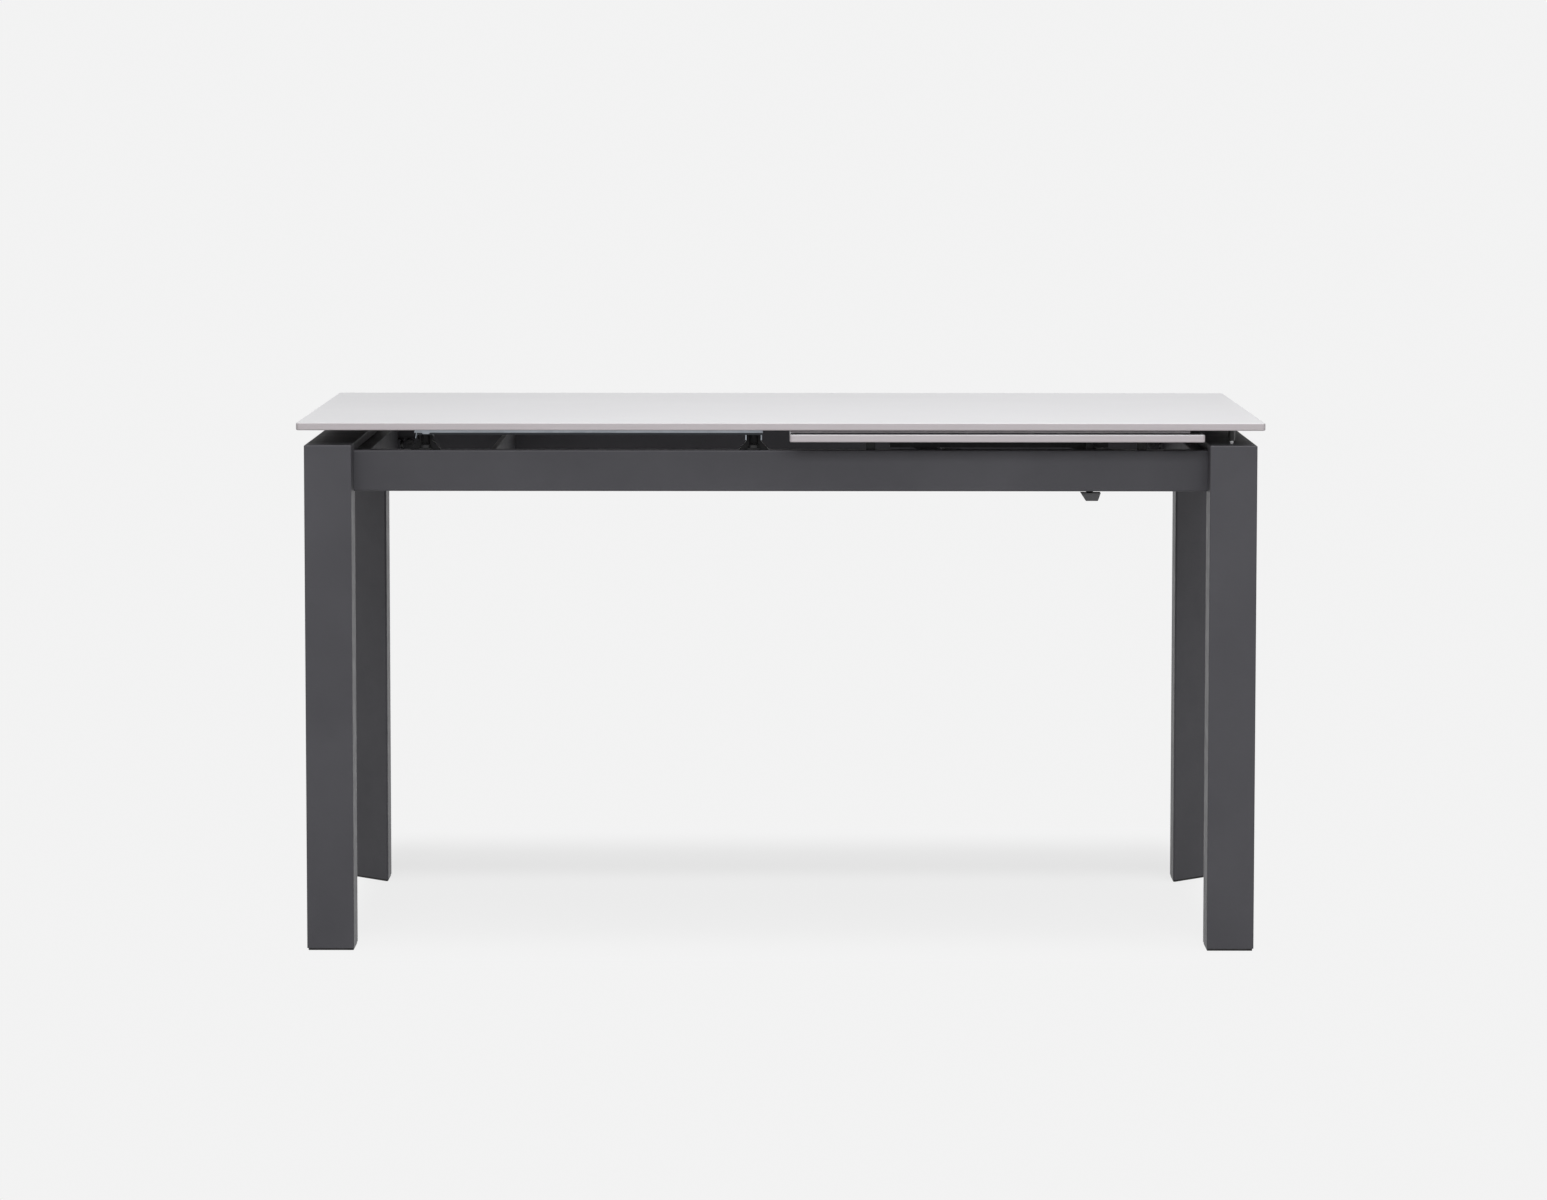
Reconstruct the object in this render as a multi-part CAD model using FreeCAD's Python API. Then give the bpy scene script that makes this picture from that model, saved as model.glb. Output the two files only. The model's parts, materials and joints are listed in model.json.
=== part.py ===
import FreeCAD, Part
import math
import os

os.makedirs("parts", exist_ok=True)
Vector = FreeCAD.Vector
ALONG_X = Vector(1, 0, 0)
ALONG_Y = Vector(0, 1, 0)
ALONG_Z = Vector(0, 0, 1)

# Extending dining table, closed. X runs along the table, -Y is the front, Z is up.
# The origin is on the floor, under the middle of the table top. All sizes are millimetres.

# Table top
TOP_LENGTH = 1400.0
TOP_DEPTH = 800.0
TOP_THICKNESS = 11.0
TABLE_HEIGHT = 770.0
PANEL_CORNER_RADIUS = 5.0
PANEL_EDGE_RADIUS = 2.0

# Extension leaf, stored under the right half of the top
LEAF_LENGTH = 600.0
LEAF_THICKNESS = 11.0
LEAF_END_INSET = 87.0
LEAF_GAP = 6.0

# Legs: right-angled triangular steel tubes
LEG_WIDTH = 71.0
LEG_DEPTH = 75.0
LEG_WALL = 2.0
LEG_EDGE_RADIUS = 2.0
LEG_TOP_RADIUS = 1.8
FOOT_THICKNESS = 3.0
FOOT_INSET = 0.8
FOOT_PLUG = 14.0
FOOT_CLEARANCE = 0.2

# End beams, over each pair of legs
FRAME_INSET_X = 8.0
FRAME_INSET_Y = 8.0
FRAME_TOP_GAP = 22.0
BEAM_HEIGHT = 70.0
BEAM_WALL = 2.0
BEAM_EDGE_RADIUS = 2.0

# Long aprons and cross tubes
APRON_HEIGHT = 60.0
APRON_THICKNESS = 30.0
APRON_SETBACK = 50.0
APRON_DROP = 10.0
APRON_WALL = 2.0
APRON_EDGE_RADIUS = 3.0
CROSS_TUBE_HEIGHT = 56.0
CROSS_TUBE_DROP = 2.0
CROSS_TUBE_WALL = 1.5
END_CROSS_TUBE_WIDTH = 21.0
MIDDLE_CROSS_TUBE_WIDTH = 8.0
MIDDLE_CROSS_TUBE_GAP = 175.0

# Corner brackets that bolt the aprons to the end cross tubes
BRACKET_FLANGE = 30.0
BRACKET_THICKNESS = 4.0
BRACKET_HEIGHT = 32.0
BRACKET_LIFT = 4.0
BRACKET_BOLT_REACH = 18.0
BRACKET_BOLT_SPREAD = 8.5
BOLT_RADIUS = 4.0
BOLT_HEAD_RADIUS = 6.5
BOLT_HEAD_HEIGHT = 4.5
BOLT_SOCKET_RADIUS = 2.5
BOLT_SOCKET_DEPTH = 2.5
BOLT_GRIP = 12.0
HOLE_CLEARANCE = 0.3

# Ball-bearing slides, laid flat over the aprons
SLIDE_BEAM_GAP = 91.0
SLIDE_LEAF_GAP = 39.0
SLIDE_WIDTH = 36.0
SLIDE_HEIGHT = 10.0
SLIDE_SHEET = 1.2
SLIDE_FOLD = 3.4
SLIDE_TAB_THICKNESS = 1.8
SLIDE_TAB_DEPTH = 14.0
SLIDE_TAB_DROP = 7.4
SLIDE_TAB_CLEARANCE = 0.3
SLIDE_RACE_GAP = 2.7
SLIDE_MIDDLE_LIFT = 2.3
SLIDE_OUTER_LIP_GAP = 2.0
SLIDE_MIDDLE_LIP_GAP = 2.2
SLIDE_INNER_DEPTH = 5.8
SLIDE_TRAVEL_MARGIN = 3.0
BALL_RADIUS = 1.25
BALL_PITCH = 21.0
BALL_CLEARANCE = 0.1
CAGE_END_MARGIN = 6.0
CAGE_THICKNESS = 0.8
CAGE_MARGIN = 0.6

# Spacer blocks that carry the slides
SPACER_INSET = 13.25
SPACER_BASE = 44.0
SPACER_NECK = 20.0
SPACER_TAPER_HEIGHT = 13.0
SPACER_FRONT_REACH = 4.0
SPACER_FLANGE_REACH = 9.0
SPACER_FLANGE_WIDTH = 18.0
SPACER_FLANGE_THICKNESS = 3.0
FOOT_SCREW_INSET = 3.5
FOOT_SCREW_HEAD_RADIUS = 7.0
FOOT_SCREW_HEAD_HEIGHT = 5.5
FOOT_SCREW_HEAD_EASING = 2.0
FOOT_SCREW_SOCKET_RADIUS = 3.0
FOOT_SCREW_SOCKET_DEPTH = 3.0
FOOT_SCREW_HEAD_CLEARANCE = 0.4
SPACER_SCREW_RADIUS = 2.5
SPACER_SCREW_HEAD_RADIUS = 4.5
SPACER_SCREW_HEAD_HEIGHT = 0.8
SPACER_SCREW_REACH = 8.0

# Rests for the leaf and the top
PAD_LENGTH = 13.0
PAD_DEPTH = 20.0
PAD_LEFT_INSET = 118.0
PAD_RIGHT_INSET = 87.0
REST_CLEARANCE = 0.3
BUMPER_INSET_X = 45.0
BUMPER_INSET_Y = 53.0
BUMPER_RADIUS = 5.0
BUMPER_HEIGHT = 17.0
BUMPER_EDGE_RADIUS = 2.0
STUD_RADIUS = 1.8
STUD_COLLAR_RADIUS = 2.7
STUD_COLLAR_EASING = 0.6
STUD_REACH = 4.0
STUD_BITE = 9.0
STUD_CLEARANCE = 0.05

# Pile strips under the top, over the long edges of the stored leaf
PILE_INSET = 9.0
PILE_WIDTH = 6.0
PILE_LEAF_GAP = 1.8
PILE_RIGHT_GAP = 21.0
PILE_END_LENGTH = 1.9

# Leaf lift: two shafts across the table with a pair of parallel arms each
ARM_LENGTH = 56.0
ARM_THICKNESS = 6.0
ARM_WIDTH = 15.0
ARM_FOOT_RADIUS = 13.0
ARM_EYE_RADIUS = 8.5
ARM_SIDE_GAP = 1.0
PIVOT_LEFT_INSET = 187.5
PIVOT_SPACING = 231.0
PIVOT_DROP = 10.0
PIVOT_RADIUS = 5.0
PIVOT_HEAD_RADIUS = 7.0
PIVOT_HEAD_HEIGHT = 3.0
PIVOT_RUNNING_CLEARANCE = 0.05
PIVOT_OPEN_CLEARANCE = 0.3
CLIP_RADIUS = 8.0
CLIP_THICKNESS = 1.2
CLIP_GAP = 0.4
PIVOT_TAIL = 2.0
SHAFT_RADIUS = 7.0
SHAFT_END_CLEARANCE = 0.3
SHAFT_RUNNING_CLEARANCE = 0.05
SHAFT_SEAT_CLEARANCE = 0.02
BUSH_WALL = 2.0
BUSH_FLANGE_RADIUS = 11.0
BUSH_FLANGE_THICKNESS = 2.0
BUSH_SEAT_CLEARANCE = 0.03
PLATE_WIDTH = 28.0
PLATE_HEIGHT = 41.0
PLATE_THICKNESS = 6.0
PLATE_SCREW_SPREAD = 16.2
PLATE_EDGE_RADIUS = 4.0
SMALL_SCREW_RADIUS = 2.5
SMALL_SCREW_HEAD_RADIUS = 4.0
SMALL_SCREW_HEAD_HEIGHT = 2.5
SMALL_SCREW_GRIP = 6.0

# Rails under the leaf
RAIL_LEFT_REACH = 40.5
RAIL_RIGHT_REACH = 48.5
RAIL_STANDOFF = 35.0
RAIL_WIDTH = 20.0
RAIL_HEIGHT = 15.0
RAIL_WALL = 2.0

# Leaf latch, behind the front apron
LATCH_SHAFT_GAP = 26.5
LATCH_PIVOT_STANDOFF = 16.0
LATCH_PIVOT_DROP = 37.0
LATCH_PLATE_WIDTH = 24.0
LATCH_PLATE_THICKNESS = 3.0
LATCH_PLATE_RISE = 22.0
LATCH_PLATE_FALL = 18.0
LATCH_SCREW_RISE = 16.0
LATCH_SCREW_FALL = 12.0
LATCH_EAR_THICKNESS = 3.0
LATCH_EAR_INSET = 0.5
LATCH_EAR_HALF_HEIGHT = 7.0
LATCH_EAR_LIP = 6.0
LATCH_PIN_RADIUS = 3.0
LATCH_PIN_HEAD_RADIUS = 4.5
LATCH_PIN_HEAD_HEIGHT = 2.0
LATCH_PIN_CLEARANCE = 0.05
LEVER_WIDTH = 10.0
LEVER_DEPTH = 8.0
LEVER_SIDE_GAP = 0.3
LEVER_HUB_RADIUS = 6.0
NOSE_LENGTH = 11.0
NOSE_THICKNESS = 3.0
NOSE_CLEARANCE = 5.0
TONGUE_THICKNESS = 4.0
TONGUE_LENGTH = 20.0
TONGUE_CLEARANCE = 0.2
KEEPER_HALF_WIDTH = 7.0
KEEPER_LIP = 8.0
KEEPER_SHEET = 3.0
KEEPER_TAB_SHEET = 2.0
KEEPER_TAB_HEIGHT = 13.0
KEEPER_LIFT = 0.5
GRIP_TOP_WIDTH = 29.0
GRIP_BOTTOM_WIDTH = 17.5
GRIP_BOTTOM_SHIFT = 2.0
GRIP_TOP_DEPTH = 26.0
GRIP_BOTTOM_DEPTH = 18.0
GRIP_HEIGHT = 12.0
GRIP_GAP = 3.0
GRIP_STANDOFF = 6.0
GRIP_EDGE_RADIUS = 1.5
SPRING_WIRE_RADIUS = 0.7
SPRING_COIL_RADIUS = 4.6
SPRING_TURNS = 4
SPRING_TURN_GAP = 0.05

# Heights worked out from the sizes above
TOP_UNDERSIDE = TABLE_HEIGHT - TOP_THICKNESS
LEAF_TOP = TOP_UNDERSIDE - LEAF_GAP
LEAF_UNDERSIDE = LEAF_TOP - LEAF_THICKNESS
BEAM_TOP = TOP_UNDERSIDE - FRAME_TOP_GAP
BEAM_BOTTOM = BEAM_TOP - BEAM_HEIGHT
APRON_TOP = BEAM_TOP - APRON_DROP
APRON_BOTTOM = APRON_TOP - APRON_HEIGHT
BRACKET_MIDDLE = APRON_BOTTOM + BRACKET_LIFT + BRACKET_HEIGHT / 2
SLIDE_BOTTOM = TOP_UNDERSIDE - SLIDE_HEIGHT
RAIL_BOTTOM = LEAF_UNDERSIDE - RAIL_HEIGHT

# Places along and across the table
FRAME_HALF_LENGTH = TOP_LENGTH / 2 - FRAME_INSET_X
FRAME_HALF_DEPTH = TOP_DEPTH / 2 - FRAME_INSET_Y
BEAM_INNER = FRAME_HALF_LENGTH - LEG_WIDTH
END_TUBE_INNER = BEAM_INNER - END_CROSS_TUBE_WIDTH
LEG_TIP_RECESS = LEG_EDGE_RADIUS / math.tan(math.atan2(LEG_DEPTH, LEG_WIDTH) / 2) - LEG_EDGE_RADIUS
APRON_OUTER = FRAME_HALF_DEPTH - APRON_SETBACK
APRON_INNER = APRON_OUTER - APRON_THICKNESS
APRON_CENTRE = APRON_OUTER - APRON_THICKNESS / 2
LEAF_RIGHT_END = TOP_LENGTH / 2 - LEAF_END_INSET
LEAF_LEFT_END = LEAF_RIGHT_END - LEAF_LENGTH
SLIDE_LEFT_END = SLIDE_BEAM_GAP - BEAM_INNER
SLIDE_RIGHT_END = LEAF_LEFT_END - SLIDE_LEAF_GAP
SPACER_PLACES = (SLIDE_LEFT_END + SPACER_INSET, SLIDE_RIGHT_END - SPACER_INSET)
SPACER_FRONT = -APRON_CENTRE - SPACER_FRONT_REACH
SPACER_DEPTH = -APRON_INNER - SPACER_FRONT
SPACER_SCREW_Y = SPACER_FRONT + SPACER_DEPTH / 2
PAD_PLACES = (LEAF_LEFT_END + PAD_LEFT_INSET, LEAF_RIGHT_END - PAD_RIGHT_INSET)
BUMPER_X = TOP_LENGTH / 2 - BUMPER_INSET_X
BUMPER_Y = TOP_DEPTH / 2 - BUMPER_INSET_Y

# Leaf swing: from stored to level with the top, along the chord of the arms' arc
LEAF_SHIFT = LEAF_END_INSET
LEAF_RISE = LEAF_GAP + TOP_THICKNESS
SWING_CHORD = math.hypot(LEAF_SHIFT, LEAF_RISE)
HALF_SWING = math.asin(SWING_CHORD / (2 * ARM_LENGTH))
ARM_REST_ANGLE = math.pi / 2 + math.atan2(LEAF_RISE, LEAF_SHIFT) + HALF_SWING
PIVOT_Z = LEAF_UNDERSIDE - PIVOT_DROP
PIVOT_PLACES = (LEAF_LEFT_END + PIVOT_LEFT_INSET, LEAF_LEFT_END + PIVOT_LEFT_INSET + PIVOT_SPACING)
SHAFT_SHIFT = -ARM_LENGTH * math.cos(ARM_REST_ANGLE)
SHAFT_Z = PIVOT_Z - ARM_LENGTH * math.sin(ARM_REST_ANGLE)
SHAFT_PLACES = tuple(place + SHAFT_SHIFT for place in PIVOT_PLACES)
RAIL_OUTER = APRON_INNER - RAIL_STANDOFF
RAIL_INNER = RAIL_OUTER - RAIL_WIDTH
ARM_OUTER = RAIL_INNER - ARM_SIDE_GAP
ARM_INNER = ARM_OUTER - ARM_THICKNESS
PLATE_INNER = APRON_INNER - PLATE_THICKNESS
BUSH_RADIUS = SHAFT_RADIUS + SHAFT_RUNNING_CLEARANCE + BUSH_WALL

# Latch places, on the front side of the table
LATCH_X = SHAFT_PLACES[1] - LATCH_SHAFT_GAP
LATCH_PIVOT_Y = LATCH_PIVOT_STANDOFF - APRON_INNER
LATCH_PIVOT_Z = APRON_TOP - LATCH_PIVOT_DROP
LATCH_PLATE_INNER = LATCH_PLATE_THICKNESS - APRON_INNER
LATCH_HALF_WIDTH = LATCH_PLATE_WIDTH / 2 - LATCH_EAR_INSET
EAR_INNER_LEFT = LATCH_X - LATCH_HALF_WIDTH + LATCH_EAR_THICKNESS
EAR_INNER_RIGHT = LATCH_X + LATCH_HALF_WIDTH - LATCH_EAR_THICKNESS
LEVER_LEFT = EAR_INNER_LEFT + LEVER_SIDE_GAP
LEVER_RIGHT = LEVER_LEFT + LEVER_WIDTH
LEVER_FRONT = LATCH_PIVOT_Y - LEVER_DEPTH / 2
LEVER_BACK = LATCH_PIVOT_Y + LEVER_DEPTH / 2
KEEPER_BOTTOM = RAIL_BOTTOM + KEEPER_LIFT
NOSE_BOTTOM = KEEPER_BOTTOM + KEEPER_SHEET + NOSE_CLEARANCE
NOSE_TOP = NOSE_BOTTOM + NOSE_THICKNESS
GRIP_TOP = APRON_BOTTOM - GRIP_GAP
GRIP_BOTTOM = GRIP_TOP - GRIP_HEIGHT
GRIP_X = (LEVER_LEFT + LEVER_RIGHT) / 2
GRIP_Y = -APRON_INNER - GRIP_STANDOFF
TONGUE_MIDDLE = (GRIP_TOP + GRIP_BOTTOM) / 2
TONGUE_BOTTOM = TONGUE_MIDDLE - TONGUE_THICKNESS / 2
TONGUE_TOP = TONGUE_MIDDLE + TONGUE_THICKNESS / 2
TONGUE_FRONT = LEVER_FRONT - TONGUE_LENGTH


def box(x_range, y_range, z_range):
    """A block between three pairs of limits, each given low first."""
    low = Vector(x_range[0], y_range[0], z_range[0])
    high = Vector(x_range[1], y_range[1], z_range[1])
    size = high - low
    return Part.makeBox(size.x, size.y, size.z, low)


def rod(radius, start, end):
    """A round bar from one point to another."""
    start_point = Vector(*start)
    reach = Vector(*end) - start_point
    return Part.makeCylinder(radius, reach.Length, start_point, reach)


def prism(points, low, high):
    """An upright prism on a plan outline."""
    corners = [Vector(x, y, low) for x, y in points]
    outline = Part.makePolygon(corners + corners[:1])
    return Part.Face(outline).extrude(Vector(0, 0, high - low))


def edges_along(shape, direction):
    """The straight edges that run along a direction."""
    found = []
    for edge in shape.Edges:
        if not isinstance(edge.Curve, Part.Line):
            continue
        if abs(edge.tangentAt(edge.FirstParameter).dot(direction)) > 0.999:
            found.append(edge)
    return found


def edges_at_height(shape, height):
    """The edges that lie level at one height."""
    return [edge for edge in shape.Edges
            if abs(edge.BoundBox.ZMin - height) < 0.01 and abs(edge.BoundBox.ZMax - height) < 0.01]


def to_back(shape):
    """The mirror image across the table's long centre line."""
    return shape.mirror(Vector(), Vector(0, 1, 0))


def to_right(shape):
    """The mirror image across the table's short centre line."""
    return shape.mirror(Vector(), Vector(1, 0, 0))


def front_and_back(shape):
    return [shape, to_back(shape)]


def four_corners(shape):
    return [shape, to_back(shape), to_right(shape), to_right(to_back(shape))]


def save(name, *shapes):
    """Write one node: a single solid, or a group of separate ones."""
    solids = [solid for shape in shapes for solid in shape.Solids]
    node = solids[0] if len(solids) == 1 else Part.makeCompound(solids)
    node.exportStep(f"parts/{name}.step")


def eased_panel(x_range, z_range):
    """A full-depth panel with rounded corners and eased edges."""
    half_depth = TOP_DEPTH / 2
    panel = box(x_range, (-half_depth, half_depth), z_range)
    panel = panel.makeFillet(PANEL_CORNER_RADIUS, edges_along(panel, ALONG_Z))
    rims = edges_at_height(panel, z_range[0]) + edges_at_height(panel, z_range[1])
    return panel.makeFillet(PANEL_EDGE_RADIUS, rims)


def leg_outline(inset):
    """Front left leg's plan: a right-angled triangle, its sides moved inwards by an inset."""
    corner_x = -BEAM_INNER
    corner_y = -FRAME_HALF_DEPTH
    inner_radius = (LEG_WIDTH + LEG_DEPTH - math.hypot(LEG_WIDTH, LEG_DEPTH)) / 2
    shrink = (inner_radius - inset) / inner_radius
    centre_x = corner_x - inner_radius
    centre_y = corner_y + inner_radius
    outline = [(corner_x, corner_y), (corner_x, corner_y + LEG_DEPTH), (corner_x - LEG_WIDTH, corner_y)]
    return [(centre_x + (x - centre_x) * shrink, centre_y + (y - centre_y) * shrink) for x, y in outline]


def make_leg():
    leg = prism(leg_outline(0), FOOT_THICKNESS, BEAM_TOP)
    leg = leg.makeFillet(LEG_EDGE_RADIUS, edges_along(leg, ALONG_Z))
    leg = leg.makeFillet(LEG_TOP_RADIUS, edges_at_height(leg, BEAM_TOP))
    hollow = prism(leg_outline(LEG_WALL), FOOT_THICKNESS, BEAM_TOP - LEG_WALL)
    return leg.cut(hollow)


def make_foot_cap():
    plate = prism(leg_outline(FOOT_INSET), 0, FOOT_THICKNESS)
    plate = plate.makeFillet(LEG_EDGE_RADIUS, edges_along(plate, ALONG_Z))
    plug = prism(leg_outline(LEG_WALL + FOOT_CLEARANCE), FOOT_THICKNESS, FOOT_THICKNESS + FOOT_PLUG)
    return plate.fuse(plug)


def bracket_bolt_heights():
    return (BRACKET_MIDDLE - BRACKET_BOLT_SPREAD, BRACKET_MIDDLE + BRACKET_BOLT_SPREAD)


def bracket_bolt_line(height, across):
    """Head seat and tip of a front left corner bolt, into the apron or across into the end tube."""
    seat_x = -END_TUBE_INNER + BRACKET_BOLT_REACH
    seat_y = -APRON_INNER + BRACKET_BOLT_REACH
    if across:
        flange_face = -END_TUBE_INNER + BRACKET_THICKNESS
        return (flange_face, seat_y, height), (flange_face - BOLT_GRIP, seat_y, height)
    flange_face = -APRON_INNER + BRACKET_THICKNESS
    return (seat_x, flange_face, height), (seat_x, flange_face - BOLT_GRIP, height)


def bracket_bolt_holes():
    holes = []
    for height in bracket_bolt_heights():
        for across in (False, True):
            seat, tip = bracket_bolt_line(height, across)
            holes.append(rod(BOLT_RADIUS + HOLE_CLEARANCE, seat, tip))
    return holes


def make_corner_bracket():
    low = BRACKET_MIDDLE - BRACKET_HEIGHT / 2
    high = BRACKET_MIDDLE + BRACKET_HEIGHT / 2
    corner_x = -END_TUBE_INNER
    corner_y = -APRON_INNER
    long_flange = box((corner_x, corner_x + BRACKET_FLANGE), (corner_y, corner_y + BRACKET_THICKNESS),
                      (low, high))
    end_flange = box((corner_x, corner_x + BRACKET_THICKNESS), (corner_y, corner_y + BRACKET_FLANGE),
                     (low, high))
    bracket = long_flange.fuse(end_flange).removeSplitter()
    return bracket.cut(bracket_bolt_holes())


def make_corner_bolts():
    bolts = []
    for height in bracket_bolt_heights():
        for across in (False, True):
            seat, tip = bracket_bolt_line(height, across)
            outward = (Vector(*seat) - Vector(*tip)).normalize()
            head_top = Vector(*seat) + outward * BOLT_HEAD_HEIGHT
            socket_floor = head_top - outward * BOLT_SOCKET_DEPTH
            bolt = rod(BOLT_RADIUS, seat, tip).fuse(rod(BOLT_HEAD_RADIUS, seat, head_top))
            bolts.append(bolt.cut(rod(BOLT_SOCKET_RADIUS, socket_floor, head_top)))
    return bolts


def make_left_beam():
    """Box tube between the legs, flush with their outer edges and mitred to their slanted faces."""
    outer = LEG_TIP_RECESS - FRAME_HALF_LENGTH
    inner = -BEAM_INNER
    outer_half = FRAME_HALF_DEPTH - LEG_TIP_RECESS * LEG_DEPTH / LEG_WIDTH
    inner_half = FRAME_HALF_DEPTH - LEG_DEPTH
    plan = [(outer, -outer_half), (inner, -inner_half), (inner, inner_half), (outer, outer_half)]
    beam = prism(plan, BEAM_BOTTOM, BEAM_TOP)
    beam = beam.makeFillet(BEAM_EDGE_RADIUS, edges_along(beam, ALONG_Y))
    hollow = box((outer + BEAM_WALL, inner - BEAM_WALL), (-FRAME_HALF_DEPTH, FRAME_HALF_DEPTH),
                 (BEAM_BOTTOM + BEAM_WALL, BEAM_TOP - BEAM_WALL))
    return beam.cut(hollow)


def make_right_beam():
    """The left beam's mirror image, drilled for the bumper studs."""
    drill = rod(STUD_RADIUS + HOLE_CLEARANCE, (BUMPER_X, -BUMPER_Y, BEAM_TOP - STUD_BITE),
                (BUMPER_X, -BUMPER_Y, BEAM_TOP))
    return to_right(make_left_beam()).cut(front_and_back(drill))


def plate_screw_line(shaft_x, side):
    """Head seat and tip of a front bearing plate screw, below or above the shaft."""
    height = SHAFT_Z + side * PLATE_SCREW_SPREAD
    return (shaft_x, -PLATE_INNER, height), (shaft_x, -APRON_INNER - SMALL_SCREW_GRIP, height)


def latch_screw_line(side):
    height = LATCH_PIVOT_Z + (LATCH_SCREW_RISE if side > 0 else -LATCH_SCREW_FALL)
    return (LATCH_X, LATCH_PLATE_INNER, height), (LATCH_X, -APRON_INNER - SMALL_SCREW_GRIP, height)


def small_screw_hole(line):
    return rod(SMALL_SCREW_RADIUS + HOLE_CLEARANCE, *line)


def make_small_screw(line):
    """Pan-head screw through a plate on the front apron's inner face."""
    seat, tip = line
    head_top = Vector(*seat) + ALONG_Y * SMALL_SCREW_HEAD_HEIGHT
    head = rod(SMALL_SCREW_HEAD_RADIUS, seat, head_top)
    return rod(SMALL_SCREW_RADIUS, seat, tip).fuse(head)


def make_plain_apron():
    """Front apron tube, drilled for what both aprons carry."""
    outer = box((-BEAM_INNER, BEAM_INNER), (-APRON_OUTER, -APRON_INNER), (APRON_BOTTOM, APRON_TOP))
    outer = outer.makeFillet(APRON_EDGE_RADIUS, edges_along(outer, ALONG_X))
    hollow = box((-BEAM_INNER, BEAM_INNER), (-APRON_OUTER + APRON_WALL, -APRON_INNER - APRON_WALL),
                 (APRON_BOTTOM + APRON_WALL, APRON_TOP - APRON_WALL))
    holes = [shape for hole in bracket_bolt_holes() for shape in (hole, to_right(hole))]
    for place in SPACER_PLACES:
        holes.append(rod(SPACER_SCREW_RADIUS + HOLE_CLEARANCE, (place, SPACER_SCREW_Y, APRON_TOP - APRON_WALL),
                         (place, SPACER_SCREW_Y, APRON_TOP)))
        holes.append(foot_screw_hole(place))
    for shaft_x in SHAFT_PLACES:
        for side in (-1, 1):
            holes.append(small_screw_hole(plate_screw_line(shaft_x, side)))
    return outer.cut([hollow] + holes)


def make_front_apron():
    return make_plain_apron().cut([small_screw_hole(latch_screw_line(side)) for side in (-1, 1)])


def make_cross_tube(left, width):
    high = APRON_TOP - CROSS_TUBE_DROP
    low = high - CROSS_TUBE_HEIGHT
    tube = box((left, left + width), (-APRON_INNER, APRON_INNER), (low, high))
    tube = tube.makeFillet(CROSS_TUBE_WALL, edges_along(tube, ALONG_Y))
    hollow = box((left + CROSS_TUBE_WALL, left + width - CROSS_TUBE_WALL), (-APRON_INNER, APRON_INNER),
                 (low + CROSS_TUBE_WALL, high - CROSS_TUBE_WALL))
    return tube.cut(hollow)


def make_end_cross_tube():
    """Tube along the left beam's inner face, drilled for the corner bolts."""
    holes = [shape for hole in bracket_bolt_holes() for shape in front_and_back(hole)]
    return make_cross_tube(-BEAM_INNER, END_CROSS_TUBE_WIDTH).cut(holes)


def channel(half_width, web_range, wall_range):
    """One front slide member: a flat web between two upright walls, folded from one sheet."""
    length = (SLIDE_LEFT_END, SLIDE_RIGHT_END)
    web = box(length, (-APRON_CENTRE - half_width, -APRON_CENTRE + half_width), web_range)
    walls = []
    for side in (-1, 1):
        face = -APRON_CENTRE + side * half_width
        inside = face - side * SLIDE_SHEET
        walls.append(box(length, (min(face, inside), max(face, inside)), wall_range))
    return web.fuse(walls).removeSplitter()


# The top slides far enough to clear the stored leaf, half of it in each stage of the slides
SLIDE_TRAVEL = LEAF_LENGTH + LEAF_END_INSET + SLIDE_TRAVEL_MARGIN
STAGE_TRAVEL = SLIDE_TRAVEL / 2
SLIDE_OUTER_HALF = SLIDE_WIDTH / 2
SLIDE_MIDDLE_HALF = SLIDE_OUTER_HALF - SLIDE_SHEET - SLIDE_RACE_GAP
SLIDE_INNER_HALF = SLIDE_MIDDLE_HALF - SLIDE_SHEET - SLIDE_RACE_GAP
MIDDLE_WEB_BOTTOM = SLIDE_BOTTOM + SLIDE_MIDDLE_LIFT
OUTER_WALL_TOP = TOP_UNDERSIDE - SLIDE_OUTER_LIP_GAP
MIDDLE_WALL_TOP = TOP_UNDERSIDE - SLIDE_MIDDLE_LIP_GAP
INNER_WALL_BOTTOM = TOP_UNDERSIDE - SLIDE_INNER_DEPTH
BALL_Z = (INNER_WALL_BOTTOM + MIDDLE_WALL_TOP) / 2


def slide_outer_section():
    """The fixed member's section about its middle: a sheet folded at a slant between its web and walls."""
    mitre = SLIDE_SHEET * math.tan(math.radians(45) / 2)
    web_edge = SLIDE_OUTER_HALF - SLIDE_FOLD
    inside = SLIDE_OUTER_HALF - SLIDE_SHEET
    outer_half = [(SLIDE_OUTER_HALF, OUTER_WALL_TOP), (SLIDE_OUTER_HALF, SLIDE_BOTTOM + SLIDE_FOLD),
                  (web_edge, SLIDE_BOTTOM)]
    inner_half = [(web_edge - mitre, SLIDE_BOTTOM + SLIDE_SHEET), (inside, SLIDE_BOTTOM + SLIDE_FOLD + mitre),
                  (inside, OUTER_WALL_TOP)]
    far_side = [(-y, z) for y, z in outer_half[::-1] + inner_half[::-1]]
    return outer_half + far_side + inner_half


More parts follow.
